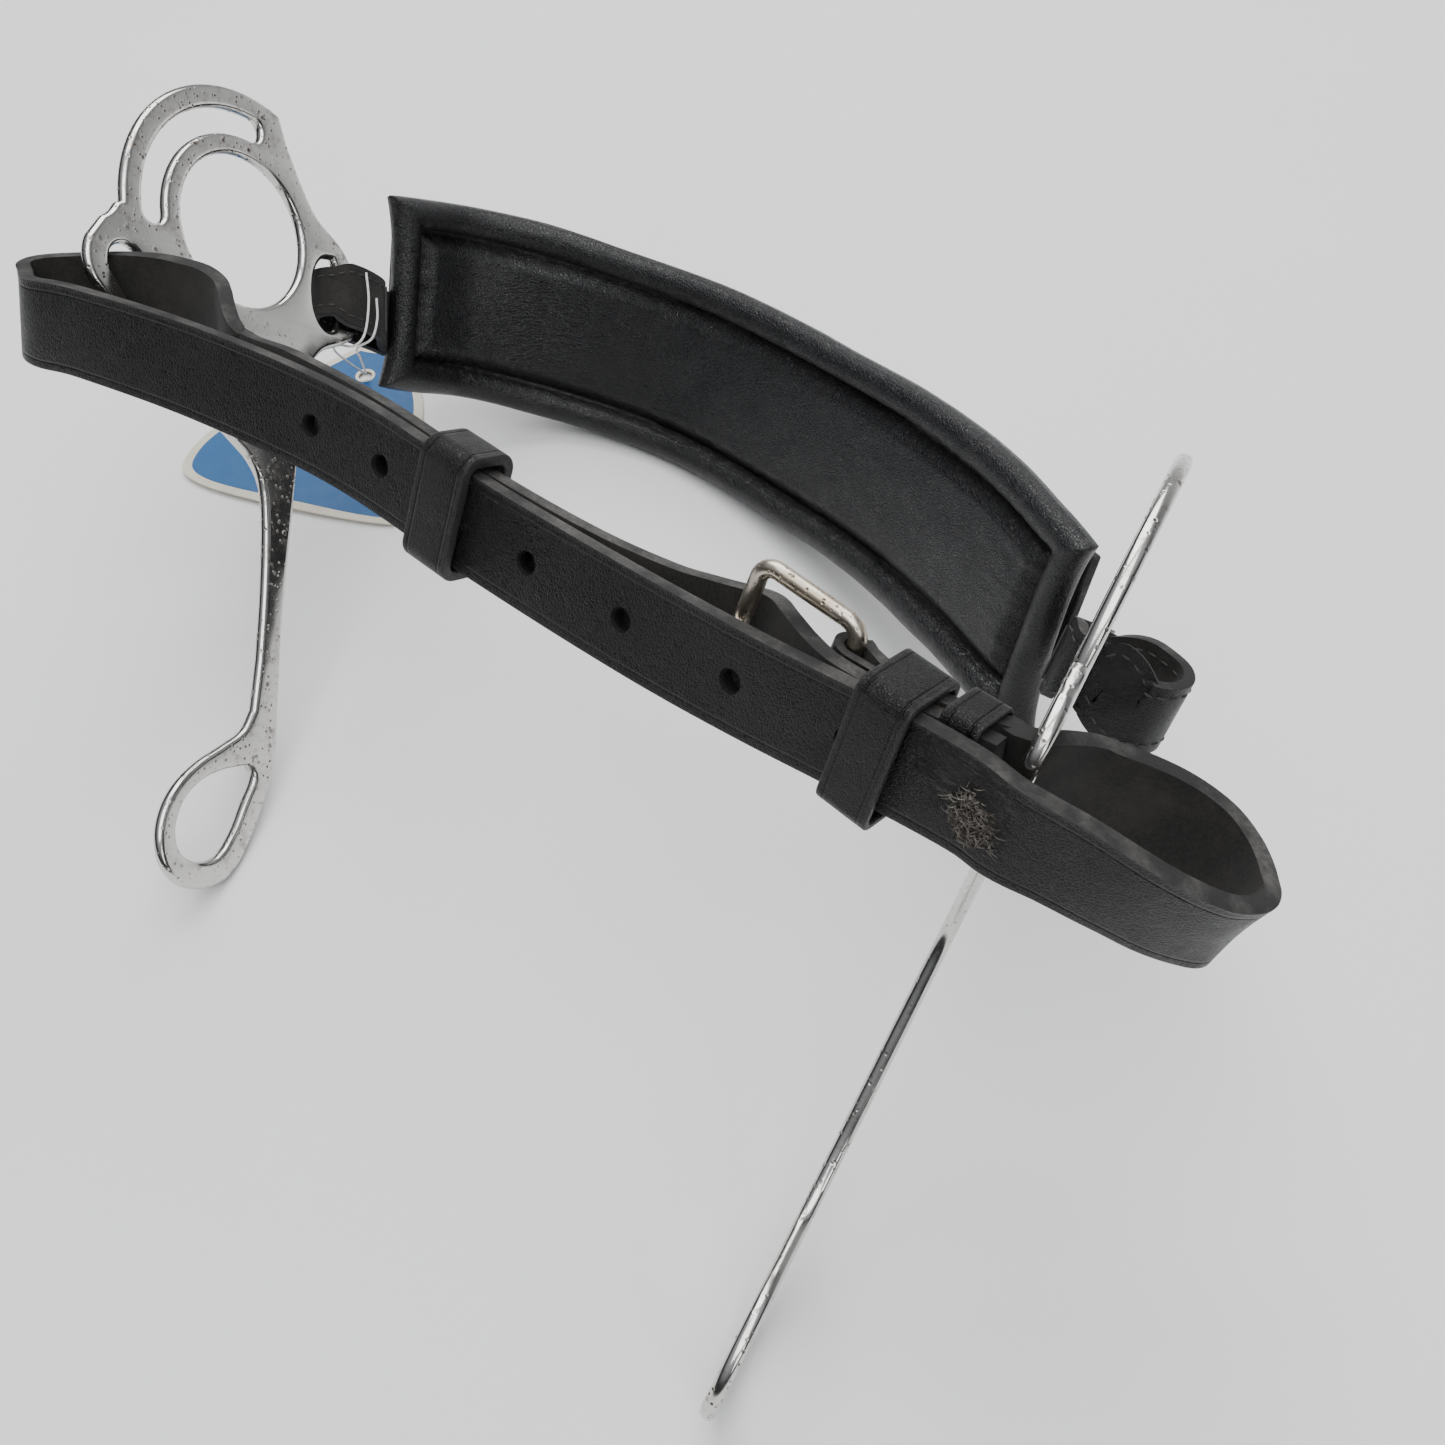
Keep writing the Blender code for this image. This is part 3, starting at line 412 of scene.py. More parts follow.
KEEPERS = {name: leather_material(f"v_{name}_grain", (0.0032, 0.0032, 0.0036), (0.012, 0.0115, 0.011),
                                  half=width / 2, side="Object", size=1500, rough=(0.30, 0.5), crease=1.7)
           for name, width in (("left_keeper", 12.5), ("right_keeper", 11.0), ("fixed_keeper", 7.6))}
# walls of the punched strap holes: near-black leather, darker than the cut edge, as painted shade inside the holes
HOLE_PAINTED_SHADE = leather_material("v_hole_painted_shade", (0.002, 0.002, 0.002), (0.006, 0.0055, 0.005), rough=(0.6, 0.8))
LEATHER = [SUEDE, STRAP_GRAIN, EDGE]
LEATHER_IN = [TAB_GRAIN, SUEDE, EDGE]

# ---------------------------------------------------------------- geometry helpers


def frame(origin, x, y, z=None):
    """A placement from an origin and two axes; y is squared up against x."""
    x = Vector(x).normalized()
    y = Vector(y)
    y = (y - x * y.dot(x)).normalized()
    z = x.cross(y)
    m = Matrix((x, y, z)).transposed().to_4x4()
    m.translation = Vector(origin)
    return m


def place(obj, matrix_mm, body_name):
    """Puts obj at a design-frame placement and hangs it on a body of the frame.

    All but the keepers, whose own z is used by their leather, get points in the
    world's own axes.
    """
    m = WORLD @ matrix_mm
    m.translation = m.translation * MM
    if obj.type == "CURVE":
        bpy.context.view_layer.update()
        mesh = bpy.data.meshes.new_from_object(
            obj.evaluated_get(bpy.context.evaluated_depsgraph_get()))
        name = obj.name
        bpy.data.objects.remove(obj, do_unlink=True)
        bm = bmesh.new()
        bm.from_mesh(mesh)
        bmesh.ops.remove_doubles(bm, verts=bm.verts, dist=0.000002)
        bmesh.ops.recalc_face_normals(bm, faces=bm.faces)
        bm.to_mesh(mesh)
        bm.free()
        mesh.shade_smooth()
        mesh.set_sharp_from_angle(angle=math.radians(50))
        obj = bpy.data.objects.new(name, mesh)
        bpy.context.scene.collection.objects.link(obj)
    if "keeper" in obj.name:
        obj.matrix_world = m
    else:
        obj.data.transform(m)
        obj.data.update()
    bpy.context.view_layer.update()
    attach(obj, body_name)
    return obj


def add_mesh(name, bm, mats, body_name, matrix_mm=None, sharp=35.0):
    """A new object from a bmesh in millimetres of its own placement."""
    bmesh.ops.scale(bm, vec=(MM, MM, MM), verts=bm.verts)
    mesh = bpy.data.meshes.new(name)
    bm.to_mesh(mesh)
    bm.free()
    for mat in (mats if isinstance(mats, (list, tuple)) else [mats]):
        mesh.materials.append(mat)
    mesh.shade_smooth()
    mesh.set_sharp_from_angle(angle=math.radians(sharp))
    obj = bpy.data.objects.new("v_" + name, mesh)
    bpy.context.scene.collection.objects.link(obj)
    return place(obj, matrix_mm or Matrix.Identity(4), body_name)


def spline(points, steps):
    """Catmull-Rom curve through the points, `steps` samples a span."""
    pts = [Vector(p) for p in points]
    pts = [pts[0] * 2 - pts[1]] + pts + [pts[-1] * 2 - pts[-2]]
    out = []
    for i in range(1, len(pts) - 2):
        a, b, c, d = pts[i - 1], pts[i], pts[i + 1], pts[i + 2]
        for k in range(steps):
            t = k / steps
            out.append(0.5 * ((2 * b) + (c - a) * t + (2 * a - 5 * b + 4 * c - d) * t * t
                              + (3 * b - a - 3 * c + d) * t ** 3))
    out.append(pts[-2].copy())
    return out


def even(points, pitch):
    """The same polyline with points an even pitch apart."""
    lengths = [0.0]
    for a, b in zip(points, points[1:]):
        lengths.append(lengths[-1] + (b - a).length)
    count = max(2, round(lengths[-1] / pitch))
    out, j = [], 0
    for i in range(count + 1):
        want = lengths[-1] * i / count
        while j < len(points) - 2 and lengths[j + 1] < want:
            j += 1
        span = lengths[j + 1] - lengths[j]
        out.append(points[j].lerp(points[j + 1], (want - lengths[j]) / span if span else 0))
    return out


def arc(centre, radius, start, end, count):
    """Points on an arc, in degrees, ends included."""
    return [Vector((centre[0] + radius * math.cos(math.radians(start + (end - start) * i / count)),
                    centre[1] + radius * math.sin(math.radians(start + (end - start) * i / count))))
            for i in range(count + 1)]


def winding(loop):
    return sum(a.x * b.y - b.x * a.y for a, b in zip(loop, loop[1:] + loop[:1]))


def plate(name, loops, thickness, bevel, mat, parent, matrix_mm, bevel_res=3):
    """A flat outline with holes, extruded and edge-rounded, as a mesh object."""
    curve = bpy.data.curves.new(name, "CURVE")
    curve.dimensions = "2D"
    curve.fill_mode = "BOTH"
    curve.extrude = (thickness / 2 - bevel) * MM
    curve.bevel_depth = bevel * MM
    curve.bevel_resolution = bevel_res
    curve.offset = -bevel * MM
    for index, loop in enumerate(loops):
        if (winding(loop) > 0) != (index == 0):
            loop = loop[::-1]
        line = curve.splines.new("POLY")
        line.points.add(len(loop) - 1)
        for point, p in zip(line.points, loop):
            point.co = (p.x * MM, p.y * MM, 0, 1)
        line.use_cyclic_u = True
    guide = bpy.data.objects.new(name + "_outline", curve)
    bpy.context.scene.collection.objects.link(guide)
    bpy.context.view_layer.update()
    mesh = bpy.data.meshes.new_from_object(
        guide.evaluated_get(bpy.context.evaluated_depsgraph_get()))
    bpy.data.objects.remove(guide, do_unlink=True)
    bm = bmesh.new()
    bm.from_mesh(mesh)
    bmesh.ops.remove_doubles(bm, verts=bm.verts, dist=0.000005)
    bmesh.ops.recalc_face_normals(bm, faces=bm.faces)
    bmesh.ops.scale(bm, vec=(1 / MM,) * 3, verts=bm.verts)
    bpy.data.meshes.remove(mesh)
    return add_mesh(name, bm, mat, parent, matrix_mm)


def tube(name, points, radius, mat, body_name, resolution=6, cyclic=False, scale=None):
    """A round wire or roll along points of the design frame."""
    curve = bpy.data.curves.new(name, "CURVE")
    curve.dimensions = "3D"
    curve.bevel_depth = radius * MM
    curve.bevel_resolution = resolution
    curve.use_fill_caps = not cyclic
    line = curve.splines.new("POLY")
    line.points.add(len(points) - 1)
    origin = points[0]
    for i, (point, p) in enumerate(zip(line.points, points)):
        point.co = (*((p - origin) * MM), 1)
        point.radius = scale[i] if scale else 1.0
    line.use_cyclic_u = cyclic
    line.use_smooth = True
    curve.materials.append(mat)
    obj = bpy.data.objects.new("v_" + name, curve)
    bpy.context.scene.collection.objects.link(obj)
    return place(obj, Matrix.Translation(origin), body_name)


def ribbon(name, centres, sides, widths, thickness, mats, body_name, bevel=0.85,
           marks=None, skipped=(), group=None, cuts=(), crown=0.0):
    """A strap: an open strip about its centre line, thickened both ways, with its
    length and breadth in millimetres as its UV map.

    mats are the two faces and the cut edge.
    """
    marks = marks or [-1, -0.965, -0.9, -0.8, -0.6, -0.4, -0.2, 0, 0.2, 0.4, 0.6, 0.8, 0.9, 0.965, 1]
    bm = bmesh.new()
    uv = bm.loops.layers.uv.new("strap")
    rows, along = [], [0.0]
    for i, (c, s, w) in enumerate(zip(centres, sides, widths)):
        if i:
            along.append(along[-1] + (c - centres[i - 1]).length)
        rows.append([bm.verts.new(c + s * (w / 2 * m)) for m in marks])
    where = {}
    for i, row in enumerate(rows):
        for k, v in enumerate(row):
            where[v] = (along[i], widths[i] / 2 * marks[k])
    for i in range(len(rows) - 1):
        for k in range(len(marks) - 1):
            if (i, k) in skipped:
                continue
            face = bm.faces.new((rows[i][k], rows[i + 1][k], rows[i + 1][k + 1], rows[i][k + 1]))
            for loop in face.loops:
                loop[uv].uv = where[loop.vert]
    obj = add_mesh(name, bm, mats, body_name, sharp=50)
    if group:
        vg = obj.vertex_groups.new(name="thickness")
        for i, weight in enumerate(group):
            for k in range(len(marks)):
                vg.add([i * len(marks) + k], weight, "REPLACE")
    solid = obj.modifiers.new("thickness", "SOLIDIFY")
    solid.thickness = thickness * MM
    solid.offset = 0
    solid.use_even_offset = False
    solid.material_offset = 1
    solid.material_offset_rim = 2
    if group:
        solid.vertex_group = "thickness"
        solid.thickness_vertex_group = 0.0
    edge = obj.modifiers.new("edges", "BEVEL")
    edge.width = bevel * MM
    edge.segments = 3
    edge.limit_method = "ANGLE"
    edge.angle_limit = math.radians(50)
    edge.harden_normals = False
    edge.material = 0 if mats[1] is SUEDE else 1
    if cuts:
        cutter = join_cutters(name + "_holes", cuts)
        cut = obj.modifiers.new("holes", "BOOLEAN")
        cut.operation = "DIFFERENCE"
        cut.material_mode = "TRANSFER"
        cut.object = cutter
        bpy.context.view_layer.update()
        done = bpy.data.meshes.new_from_object(
            obj.evaluated_get(bpy.context.evaluated_depsgraph_get()))
        obj.modifiers.clear()
        obj.data = done
        bpy.data.objects.remove(cutter, do_unlink=True)
    return obj


def join_cutters(name, placements):
    """One cutter: punched holes that flare at the grain side."""
    bm = bmesh.new()
    for m, radius, length, sides in placements:
        rings = []
        for z, r in ((-length / 2, radius), (0.9, radius), (1.5, radius + 0.28), (length / 2, radius + 1.3)):
            rings.append([bm.verts.new(m @ Vector((r * math.cos(2 * math.pi * k / sides),
                                                   r * math.sin(2 * math.pi * k / sides), z)))
                          for k in range(sides)])
        for lower, upper in zip(rings, rings[1:]):
            for k in range(sides):
                bm.faces.new((lower[k], lower[(k + 1) % sides], upper[(k + 1) % sides], upper[k]))
        bm.faces.new(rings[0][::-1])
        bm.faces.new(rings[-1])
    bmesh.ops.recalc_face_normals(bm, faces=bm.faces)
    bmesh.ops.transform(bm, matrix=Matrix.Scale(MM, 4) @ WORLD, verts=bm.verts)
    mesh = bpy.data.meshes.new(name)
    bm.to_mesh(mesh)
    bm.free()
    # the hole walls take the near-black leather, which is painted shade inside the holes
    mesh.materials.append(HOLE_PAINTED_SHADE)
    obj = bpy.data.objects.new(name, mesh)
    obj.hide_render = True
    bpy.context.scene.collection.objects.link(obj)
    return obj


def squared(sides, centres):
    """Width directions made square to the centre line."""
    out = []
    for i, s in enumerate(sides):
        a, b = centres[max(i - 1, 0)], centres[min(i + 1, len(centres) - 1)]
        t = (b - a).normalized()
        s = s - t * s.dot(t)
        out.append(s.normalized())
    return out


def loop_plate(name, inner_w, inner_t, leather, width, mat, parent, matrix_mm, corner=2.0):
    """A keeper: a leather loop of rounded-rectangle section around the straps."""
    def rounded(w, t, r):
        pts = []
        for cx, cy, start in ((w / 2 - r, t / 2 - r, 0), (-w / 2 + r, t / 2 - r, 90),
                              (-w / 2 + r, -t / 2 + r, 180), (w / 2 - r, -t / 2 + r, 270)):
            pts += arc((cx, cy), r, start, start + 90, 10)
        return pts
    outer = rounded(inner_w + 2 * leather, inner_t + 2 * leather, corner + leather)
    inner = rounded(inner_w, inner_t, corner)
    return plate(name, [outer, inner], width, 0.45, mat, parent, matrix_mm, bevel_res=3)


ROOT = "noseband"

# ---------------------------------------------------------------- cheek plates
# Each cheek is one flat stamping.  u runs to the nose side, v up the cheek.
LEFT = frame((-122.7, 0.3, 94.1), (0.103, 0.722, -0.685), (-0.519, 0.626, 0.582))
RIGHT = frame((121.1, 2.2, 112.7), (-0.223, 0.672, -0.707), (-0.061, 0.714, 0.698))
LEFT_MID = LEFT @ Matrix.Translation((0, 0, -PLATE_T / 2))
RIGHT_MID = RIGHT

slot_dir = Vector((math.cos(math.radians(SLOT_DIR_DEG)), math.sin(math.radians(SLOT_DIR_DEG))))
slot_nrm = Vector((-slot_dir.y, slot_dir.x))
slot_a = Vector(SLOT_TOP)
slot_b = slot_a + slot_dir * (SLOT_L - SLOT_W)
slot_mid = (slot_a + slot_b) / 2
rim_w = 5.6              # bar around the strap slot
rim_off = SLOT_W / 2 + rim_w


def flat(points):
    return [Vector(p) for p in points]


def cheek_outline():
    head = arc((0, 0), DISC_R, 186, 72, 70)
    nose = spline(flat([(13.8, 27.0), (18.5, 19.0), (24.0, 11.6), (32.5, 6.0), (36.5, 1.0),
                        (37.8, -6.0), (38.7, -14.0), (37.2, -18.6), (32.5, -21.5), (26.0, -25.0),
                        (21.5, -32.0), (19.3, -44.0), (18.2, -57.0), (16.0, -78.0), (13.8, -99.0),
                        (12.7, -119.0), (12.0, -132.0), (9.2, -143.6), (4.0, -155.5)]), 10)
    ring = spline(flat([(1.0, -160.6), (-3.5, -164.6), (-10.0, -166.4), (-17.0, -165.0),
                        (-21.8, -160.0), (-23.2, -153.0), (-21.5, -146.0), (-17.5, -140.0),
                        (-11.5, -135.0), (-4.5, -131.0), (1.5, -127.2), (4.6, -122.0)]), 8)
    arm = spline(flat([(6.3, -109.0), (7.4, -93.0), (7.8, -76.0), (6.8, -65.0), (3.0, -58.5),
                       (-4.0, -53.2)]), 8)
    low = slot_b - slot_nrm * rim_off
    high = slot_a - slot_nrm * rim_off
    claw = spline(flat([(-14.0, -47.0), (-24.0, -41.5)]), 6)
    claw += [low + slot_dir * 1.5, low - slot_dir * 6, high + slot_dir * 4]
    base = math.degrees(math.atan2(-slot_nrm.y, -slot_nrm.x)) % 360
    claw += arc(slot_a, rim_off + 0.6, base, base - 62, 18)
    claw += spline(flat([(-40.6, -9.0), (-38.4, -7.0), (-36.9, -4.6)]), 6)
    return head + nose + ring + arm + claw


def ring_loop(centre, radius, count):
    return arc(centre, radius, 0, 360, count)[:-1]


def crescent():
    r0, r1 = CRESCENT_R
    mid, half = (r0 + r1) / 2, (r1 - r0) / 2
    a, b = CRESCENT_DEG
    ca = (mid * math.cos(math.radians(a)), mid * math.sin(math.radians(a)))
    cb = (mid * math.cos(math.radians(b)), mid * math.sin(math.radians(b)))
    return (arc((0, 0), r1, a, b, 48) + arc(cb, half, b, b + 180, 14)[1:-1]
            + arc((0, 0), r0, b, a, 44) + arc(ca, half, a + 180, a + 360, 14)[1:-1])


def strap_slot():
    along = SLOT_DIR_DEG
    return (arc(slot_a, SLOT_W / 2, along + 90, along + 270, 20)
            + arc(slot_b, SLOT_W / 2, along - 90, along + 90, 20))


def nose_slot():
    """Opening between the head and the nose bar, the tab's way through."""
    return even(spline(flat([(29.8, 1.6), (26.0, 0.4), (23.6, -3.6), (23.0, -9.0), (24.0, -14.6),
                             (27.0, -18.0), (30.4, -17.6), (31.4, -13.0), (31.0, -8.0),
                             (31.2, -2.0), (29.8, 1.6)]), 8), 0.9)[:-1]


def rein_ring():
    """Pear-shaped hole for the rein."""
    return even(spline(flat([(3.0, -136.0), (-4.0, -137.2), (-10.5, -139.8), (-15.5, -144.5),
                             (-18.0, -151.0), (-16.8, -157.0), (-12.0, -159.7), (-6.0, -158.6),
                             (-1.5, -153.0), (2.0, -145.5), (4.8, -139.5), (3.0, -136.0)]), 4),
                1.0)[:-1]


LOOPS = [cheek_outline(), ring_loop((0, 0), EYE_R, 110), crescent(), strap_slot(), nose_slot(),
         rein_ring()]

# The lever axis runs through both nose bars.
NOSE_BAR = Vector((34.8, NOSE_V, 0))
nose_left = LEFT_MID @ NOSE_BAR
nose_right = RIGHT_MID @ NOSE_BAR
for side, base in (("left", LEFT_MID), ("right", RIGHT_MID)):
    cheek = plate(f"{side}_cheek", [list(l) for l in LOOPS], PLATE_T, 1.42, STEEL, f"{side}_cheek",
                  base, bevel_res=5)
    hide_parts(f"{side}_cheek")

# ---------------------------------------------------------------- nose pad
PAD_PATH = [(-117, 36, 58), (-111, 60, 43), (-88, 78, 34), (-53, 87, 32), (-12, 84, 36),
            (29, 74, 44), (63, 59, 53), (86, 46, 59), (99, 41, 61)]
PAD_SIDE = [(-0.33, 0.56, 0.76), (-0.25, 0.48, 0.84), (-0.14, 0.39, 0.91), (-0.08, 0.34, 0.94),
            (-0.07, 0.34, 0.94), (-0.06, 0.35, 0.93), (-0.05, 0.38, 0.92), (-0.01, 0.36, 0.93),
            (0.07, 0.23, 0.97)]
PAD_STEPS = 34
pad_c = spline(PAD_PATH, PAD_STEPS)
pad_s = squared([v.normalized() for v in spline(PAD_SIDE, PAD_STEPS)], pad_c)
pad_t = [(pad_c[min(i + 1, len(pad_c) - 1)] - pad_c[max(i - 1, 0)]).normalized()
         for i in range(len(pad_c))]
pad_n = [t.cross(s) for t, s in zip(pad_t, pad_s)]   # out of the side that lies on the nose
pad_w = [PAD_W[0] + (PAD_W[1] - PAD_W[0]) * math.sin(math.pi * i / (len(pad_c) - 1)) ** 0.6
         for i in range(len(pad_c))]
pad_len = [0.0]
for p, q in zip(pad_c, pad_c[1:]):
    pad_len.append(pad_len[-1] + (q - p).length)
PAD_LENGTH = pad_len[-1]


def smooth(x):
    x = min(1.0, max(0.0, x))
    return x * x * (3 - 2 * x)


def pad_front(edge, along, across, end):
    """Height of the nose side over the mid surface, from the distance to the border."""
    r = ROLL_R
    wave = noise.noise(Vector((along * 0.11, across * 0.09, 3.1)))
    pucker = noise.noise(Vector((along * 0.42, across * 0.42, 7.7)))
    fine = noise.noise(Vector((along * 0.9, across * 0.22, 1.7)))
    if edge < 2 * r:
        h = math.sqrt(max(0.0, r * r - (edge - r) ** 2))
        h *= 1.0 + 0.06 * wave
        near = smooth((edge - r) / r)
        return h + 0.38 * pucker * near * near + 0.12 * fine * near
    x = edge - 2 * r
    h = -0.9 + 3.7 * smooth(x / 6.0) ** 0.7
    h += 0.32 * wave * smooth(x / 8)
    h += 0.5 * pucker * math.exp(-(x / 3.2)) + 0.16 * fine * math.exp(-(x / 6.0))
    # creases that run in from each end of the pad
    h += 0.55 * math.exp(-max(0.0, end - 9.0) / 12.0) * noise.noise(Vector((along * 0.05, across * 0.5, 9.2)))
    return h


def pad_back(edge, along, across):
    r = ROLL_R
    h = math.sqrt(max(0.0, r * r - (edge - r) ** 2)) if edge < r else r
    h += 1.7 * smooth((edge - r) / 5.0)
    return -h - 0.12 * noise.noise(Vector((along * 0.12, across * 0.12, 5.5)))


bm = bmesh.new()
uv = bm.loops.layers.uv.new("strap")
CROSS = [-math.cos(math.pi * k / 76) for k in range(77)]
CROSS = [0.45 * c + 0.55 * (2 * k / 76 - 1) for k, c in enumerate(CROSS)]
stations = []
i_total = len(pad_c) - 1
N_ALONG = 300
for k in range(N_ALONG + 1):
    u = k / N_ALONG
    stations.append(0.5 * u + 0.5 * (0.5 - 0.5 * math.cos(math.pi * u)))


def pad_at(u):
    x = u * i_total
    i = min(int(x), i_total - 1)
    f = x - i
    mix = lambda seq: seq[i].lerp(seq[i + 1], f)
    return mix(pad_c), mix(pad_s).normalized(), mix(pad_n).normalized(), \
        pad_w[i] * (1 - f) + pad_w[i + 1] * f, pad_len[i] * (1 - f) + pad_len[i + 1] * f


front_rows, back_rows, flat_at = [], [], {}
for u in stations:
    c, s, n, w, along = pad_at(u)
    end = min(along, PAD_LENGTH - along)
    front, back = [], []
    for x in CROSS:
        across = x * w / 2
        # the corners of the pad are a little drawn out, its sides a little drawn in
        edge = min(w / 2 - abs(across), end)
        bulge = 0.7 * noise.noise(Vector((along * 0.035, 2.0 * (1 if x > 0 else -1), 0.4))) * abs(x) ** 3
        near_end = math.exp(-end / 9.0) * (1 if along > PAD_LENGTH / 2 else -1)
        pull = 1.9 * abs(x) ** 4 - 1.2 * (1 - x * x)
        tangent = s.cross(n).normalized()
        tangent = tangent if tangent.dot(pad_t[min(int(u * i_total), i_total)]) > 0 else -tangent
        base = c + s * (across + bulge) + tangent * (near_end * pull)
        hf, hb = pad_front(edge, along, across, end), pad_back(edge, along, across)
        vf = bm.verts.new(base + n * hf)
        if edge <= 1e-6:
            vb = vf
        else:
            vb = bm.verts.new(base + n * min(hb, hf - 0.3))
        flat_at[vf] = flat_at[vb] = (along, across)
        front.append(vf)
        back.append(vb)
    front_rows.append(front)
    back_rows.append(back)
for rows, flip in ((front_rows, False), (back_rows, True)):
    for i in range(len(rows) - 1):
        for k in range(len(CROSS) - 1):
            quad = [rows[i][k], rows[i + 1][k], rows[i + 1][k + 1], rows[i][k + 1]]
            if flip:
                quad.reverse()
            try:
                face = bm.faces.new(quad)
            except ValueError:
                continue
            for loop in face.loops:
                loop[uv].uv = flat_at[loop.vert]
bmesh.ops.remove_doubles(bm, verts=bm.verts, dist=0.0005)
bmesh.ops.recalc_face_normals(bm, faces=bm.faces)
pad = add_mesh("nose_pad", bm, [NAPPA], ROOT, sharp=180)
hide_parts("pad_core", "pad_front_panel", "pad_back_panel", "pad_upper_roll",
            "pad_lower_roll", "pad_left_roll", "pad_right_roll")

idx = range(PAD_STEPS // 4, len(pad_c) - PAD_STEPS // 4, 3)
strap_c = [pad_c[i] - pad_n[i] * 8.2 for i in idx]
nose_strap = ribbon("nose_strap", strap_c, [pad_s[i] for i in idx], [38.0] * len(strap_c), 3.0,
                    LEATHER, ROOT)
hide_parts("nose_strap")


def stitches(name, centres, normals, pitch, length, radius, mat, body_name):
    """A run of separate thread stitches, laid just into the leather's face."""
    bm = bmesh.new()
    path = even(centres, 0.4)
    near = lambda p: normals[min(range(len(centres)), key=lambda k: (centres[k] - p).length)]
    step = max(1, round(pitch / 0.4))
    for i in range(step, len(path) - step, step):
        t = (path[i + 1] - path[i - 1]).normalized()
        n = near(path[i])
        t = (t - n * t.dot(n)).normalized()
        made = bmesh.ops.create_uvsphere(bm, u_segments=8, v_segments=6, radius=radius)["verts"]
        stretch = Matrix((t, n.cross(t), n)).transposed().to_4x4()
        stretch.translation = path[i]
        bmesh.ops.transform(bm, matrix=stretch @ Matrix.Diagonal((length / (2 * radius), 1, 1, 1)),
                            verts=made)
    obj = add_mesh(name, bm, [mat], body_name, sharp=180)
    return obj


def strap_normals(centres, sides):
    out = []
    for i, s in enumerate(sides):
        t = centres[min(i + 1, len(centres) - 1)] - centres[max(i - 1, 0)]
        out.append(t.normalized().cross(s).normalized())
    return out


nn = strap_normals(strap_c, [pad_s[i] for i in idx])
for sign, tag in ((1, "upper"), (-1, "lower")):
    line = [c + pad_s[i] * (sign * 16.5) - n * 1.5 for c, i, n in zip(strap_c, idx, nn)]
    run = stitches(f"nose_strap_{tag}_stitches", line, [-n for n in nn], 3.6, 2.6, 0.34, THREAD, ROOT)

# ---------------------------------------------------------------- nose tabs
# Folded leather tabs that join the nose strap to the nose bars: through the
# nose slot, round the bar and back, where they are sewn.


def tab(name, base, path):
    """A tab from (u, n) points in a cheek's own plane."""
    centres = [base @ Vector((u, NOSE_V, n)) for u, n in path]
    up = (base.to_3x3() @ Vector((0, 1, 0))).normalized()
    pts = spline([tuple(c) for c in centres], 12)
    sides = squared([up] * len(pts), pts)
    if name == "right_nose_tab":
        # past the slot the loop rolls over to stand more upright
        turned, leaning = [], []
        for p in pts:
            q = base.inverted() @ p
            roll = math.radians(27) * smooth((q.z - 5.2) / 8.0)
            du = q.x - 36.5
            turned.append(base @ Vector((36.5 + du * math.cos(roll), NOSE_V + du * math.sin(roll), q.z)))
            leaning.append((base.to_3x3() @ Vector((-math.sin(roll), math.cos(roll), 0))).normalized())
        pts, sides = turned, squared(leaning, turned)
    # the leather is gathered where it passes through the slot
    inverse = base.inverted()
    widths = [TAB_W - 4.2 * min(1.0, max(0.0, (33.0 - (inverse @ q).x) / 4.0)) *
              min(1.0, max(0.0, (5.5 - abs((inverse @ q).z)) / 2.5)) for q in pts]
    obj = ribbon(name, pts, sides, widths, TAB_T, LEATHER_IN, ROOT, bevel=0.7)
    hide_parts(name)
    normals = strap_normals(pts, sides)
    for sign in (1, -1):
        for face in (1, -1):
            line = [p + s * (sign * (w / 2 - 2.4)) + n * (face * TAB_T / 2)
                    for p, s, w, n in zip(pts, sides, widths, normals)]
            run = stitches(f"{name}_{'u' if sign > 0 else 'l'}{'a' if face > 0 else 'b'}_stitches", line,
                           [n * face for n in normals], 3.0, 2.2, 0.27, THREAD, ROOT)
    return obj


tab("left_nose_tab", LEFT_MID,
    [(58.5, -5.0), (54.5, -4.2), (50.6, -1.6), (46, 2.4), (38, 4.5), (31.5, 4.2), (28.2, 2.8), (27.2, -0.6), (28.2, -3.8),
     (31.5, -5.4), (38, -6.0), (45, -6.4), (50.6, -6.6), (54.5, -7.0), (58.5, -7.6)])
tab("right_nose_tab", RIGHT_MID,
    [(73.5, -1.0), (67.5, -0.9), (62, -1.3), (56.5, -3.2), (51, -4.7), (45, -4.6), (38, -4.0), (31.4, -3.2), (27.9, 0.0),
     (27.0, 5.0), (27.4, 11.0), (29.5, 17.0), (34.5, 20.0), (40.0, 18.5), (43.4, 13.0), (45.0, 7.0),
     (48.0, 2.6), (52, 0.6), (57, 0.9), (62, 1.7), (67.5, 2.1), (73.5, 2.0)])
for side, base, (u, n) in (("left", LEFT_MID, (46.7, 4.15)), ("right", RIGHT_MID, (44.8, -6.3))):
    thread = tube(f"{side}_tab_thread", [base @ Vector((u, NOSE_V + v, n)) for v in (-6.2, -2, 2, 6.2)],
                  THREAD_R, THREAD, ROOT, resolution=3)
    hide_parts(f"{side}_tab_thread")

# ---------------------------------------------------------------- curb strap
# One strap, from the fold round the buckle's bar, through the right slot, back
# along the front, through the left slot and along behind itself to the buckle.
slot_left = LEFT_MID @ Vector((slot_mid.x, slot_mid.y, 0))
slot_right = RIGHT_MID @ Vector((slot_mid.x, slot_mid.y, 0))
slot_up_left = (LEFT_MID.to_3x3() @ Vector((-slot_dir.x, -slot_dir.y, 0))).normalized()
slot_up_right = (RIGHT_MID.to_3x3() @ Vector((-slot_dir.x, -slot_dir.y, 0))).normalized()

